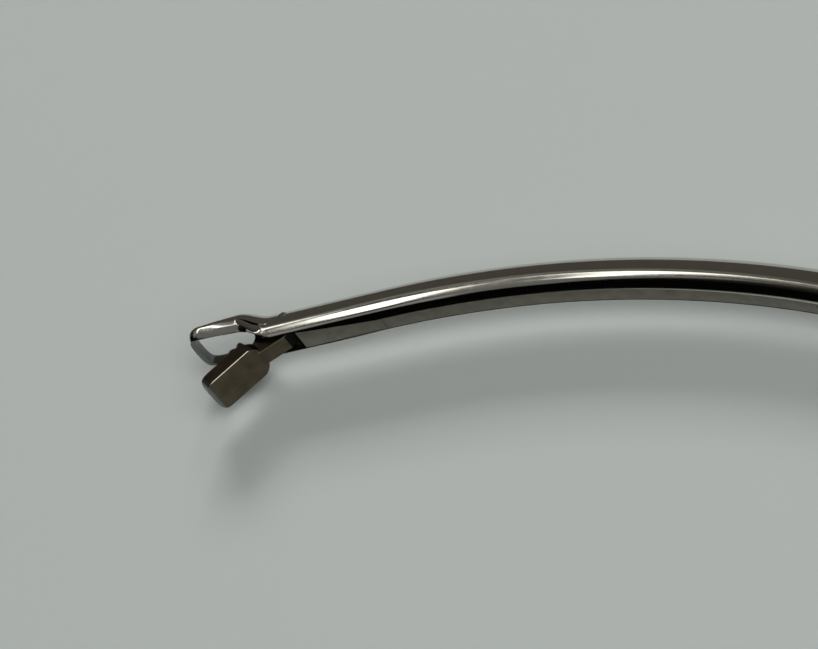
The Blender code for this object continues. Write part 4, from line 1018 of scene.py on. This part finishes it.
rear = arc(BODY_REAR_R, (PIVOT[0], BODY_TOP_Y + BODY_REAR_R), 72, -90, 112)
body_side = np.concatenate([[(BODY_NOSE_X, -2.8), (BODY_NOSE_X + 4.4, BODY_TOP_Y)], rear,
                            [(-5.5, 11.5), (-8.5, 8.0), (BODY_NOSE_X + 2.5, 4.6), (BODY_NOSE_X, 3.6)]])
fixed = plate("finger_handle", body_side, -MID_Z, MID_Z, HANDLE)
rounding = fixed.modifiers.new("edges", "BEVEL")
rounding.width, rounding.segments, rounding.limit_method = EDGE_ROUND * MM, 5, "ANGLE"
rounding.angle_limit = math.radians(50)
finger_end = ring_side(FINGER_RING, (4.0, 40.0))
finger_route = [(-1.0, 7.0), (-3.0, 24.0), (4.0, 36.0), finger_end]
combine(fixed, [arm("finger_arm", finger_route, ARM_SIZE + 2.5, ARM_SIZE, ARM_SIZE, HANDLE),
                finger_ring("finger_loop", FINGER_RING, HANDLE)], "UNION")
lever_room = arc(BODY_REAR_R - 1.0, PIVOT, 8, 200, 90)
slot = [(SLOT_FRONT_X, BODY_TOP_Y - 2), (20, BODY_TOP_Y - 2), (20, 20), (PIVOT[0] + 0.5, 20),
        *lever_room[::-1][:6], (SLOT_FRONT_X, 2.0)]
set_screw_hole = Matrix.Translation(Vector((SET_SCREW_X, 0, 0)) * MM) @ Matrix.Rotation(math.pi / 2, 4, "Z")
combine(fixed, [
    plate("slot", slot, -SLOT_HALF_T, SLOT_HALF_T, HANDLE),
    bar_tool("shaft_bore", SHAFT_R + BORE_GAP, BODY_NOSE_X - 5, BORE_END_X, HANDLE),
    drill("pivot_bore", BOLT_R, PIVOT, -5, 5),
    drill("head_sink", SINK_R, PIVOT, MID_Z - SINK_DEPTH, 6),
    drill("nut_sink", SINK_R, PIVOT, -6, SINK_DEPTH - MID_Z),
    bar_tool("set_screw_hole", SET_SCREW_R, SHAFT_R - 0.3, 12, HANDLE @ set_screw_hole),
    *(drill(f"{end}_cover_screw", COVER_BORE_R, at, COVER_BORE_FLOOR, 5) for end, at in COVER_SCREWS.items()),
    *(drill(f"{end}_cover_head", COVER_HEAD_R, at, MID_Z - COVER_HEAD_DEPTH, 5)
      for end, at in COVER_SCREWS.items()),
])
finish_piece(fixed, HANDLE_STEEL, "instrument", "fixed_handle", flat_sides=True)

# %% [markdown]
# ### The thumb handle
#
# The thumb handle swings in the body's slot, so the part of it round the pivot is a thin plate, with a stem
# and a ball below that push the slider's yoke. The arm starts as thin as that plate and thickens outside the
# body. One thick lever would be simpler, but it wouldn't fit in the slot.

# %% The thumb handle
THUMB_RING_DEG, THUMB_RING_DISTANCE, LEVER_ARM = 51.0, 72.0, 5.0
towards_ring = math.radians(THUMB_RING_DEG)
thumb_ring = THUMB_RING_DISTANCE * np.array([math.sin(towards_ring), math.cos(towards_ring)])
neck_turn = math.radians(THUMB_RING_DEG + 14)
neck_way = np.array([math.sin(neck_turn), math.cos(neck_turn)])
neck_side = np.array([-neck_way[1], neck_way[0]])
lean = math.asin(TRAVEL / 2 / LEVER_ARM)
ball = -LEVER_ARM * np.array([math.sin(lean), math.cos(lean)])
neck_plate = [neck_way * run + neck_side * w for run, w in ((0, 3.6), (11.9, 3.0), (11.9, -3.0), (0, -3.6))]
stem = [(ball[0] + 0.85, ball[1]), (1.6, 0), (-1.6, 0), (ball[0] - 0.85, ball[1])]
moving = plate("thumb_lever", arc(2.9), -HALF_LEVER_T, HALF_LEVER_T, THUMB)
combine(moving, [
    plate("neck_plate", neck_plate, -HALF_LEVER_T, HALF_LEVER_T, THUMB),
    plate("stem", stem, 0.05 - HALF_LEVER_T, HALF_LEVER_T - 0.05, THUMB),
    plate("ball", arc(1.2, ball), 0.1 - HALF_LEVER_T, HALF_LEVER_T - 0.1, THUMB),
    arm("thumb_arm", [neck_way * 9.4, neck_way * 24, neck_way * 38, ring_side(thumb_ring, neck_way * 30)],
        ARM_SIZE + 0.6, ARM_SIZE, 2 * HALF_LEVER_T + 0.3, THUMB),
    finger_ring("thumb_loop", thumb_ring, THUMB),
], "UNION")
combine(moving, [plate("thumb_bore", arc(1.74), -5, 5, THUMB)])
finish_piece(moving, HANDLE_STEEL, "thumb", "thumb_handle", flat_sides=True)

# %% [markdown]
# ### The ferrule
#
# The cone that takes the shaft into the body is turned in one cut, with two fine rings left on its rim. A cone
# and two rings could be set together, but one profile carried round the axis is what the lathe makes.

# %% The ferrule
RIM_STEPS = [(0, 3.25), (0.06, 3.3), (0.22, 3.3), (0.27, 3.2), (0.33, 3.2), (0.38, 3.3),
             (0.72, 3.3), (0.78, 3.24)]
CONE_STEPS = [(-4.5, 2.2), (-4.47, 2.27), (-4.4, 2.31)]
rim_x = BODY_NOSE_X - 0.8
rings = [(rim_x + step, radius) for step, radius in RIM_STEPS]
cone = [(BODY_NOSE_X + step, radius) for step, radius in CONE_STEPS]
ferrule_profile = [*cone, *rings, (rings[-1][0], SHAFT_R + BORE_GAP), (cone[0][0], SHAFT_R + BORE_GAP)]
finish_piece(turned("turned_ferrule", ferrule_profile, HANDLE), MIRROR_STEEL, "instrument", "ferrule")

# %% [markdown]
# ## The finishes of the CAD pieces
#
# Pins, screws, washers, the cover, the yoke and the slider's rear are plain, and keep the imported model's
# shapes. They could share one steel, but what slides is ground, and screws and pins are bright. The solids
# that a dressed piece replaces get theirs too.

# %% Finishes of the CAD pieces
FINISH = {
    **dict.fromkeys(("shaft", "ferrule"), MIRROR_STEEL),
    "moving_jaw": JAW_STEEL,
    **dict.fromkeys(("slider_front", "slider_bend", "slider_rear", "slider_yoke"), SLIDER_STEEL),
    **dict.fromkeys(("fixed_handle", "thumb_handle"), HANDLE_STEEL),
}

for node in frame["nodes"]:
    for place in frame["nodes"][node].material_slots:
        place.material = FINISH.get(node, SCREW_STEEL)
print("finishes:", len(set(FINISH.values())) + 1)
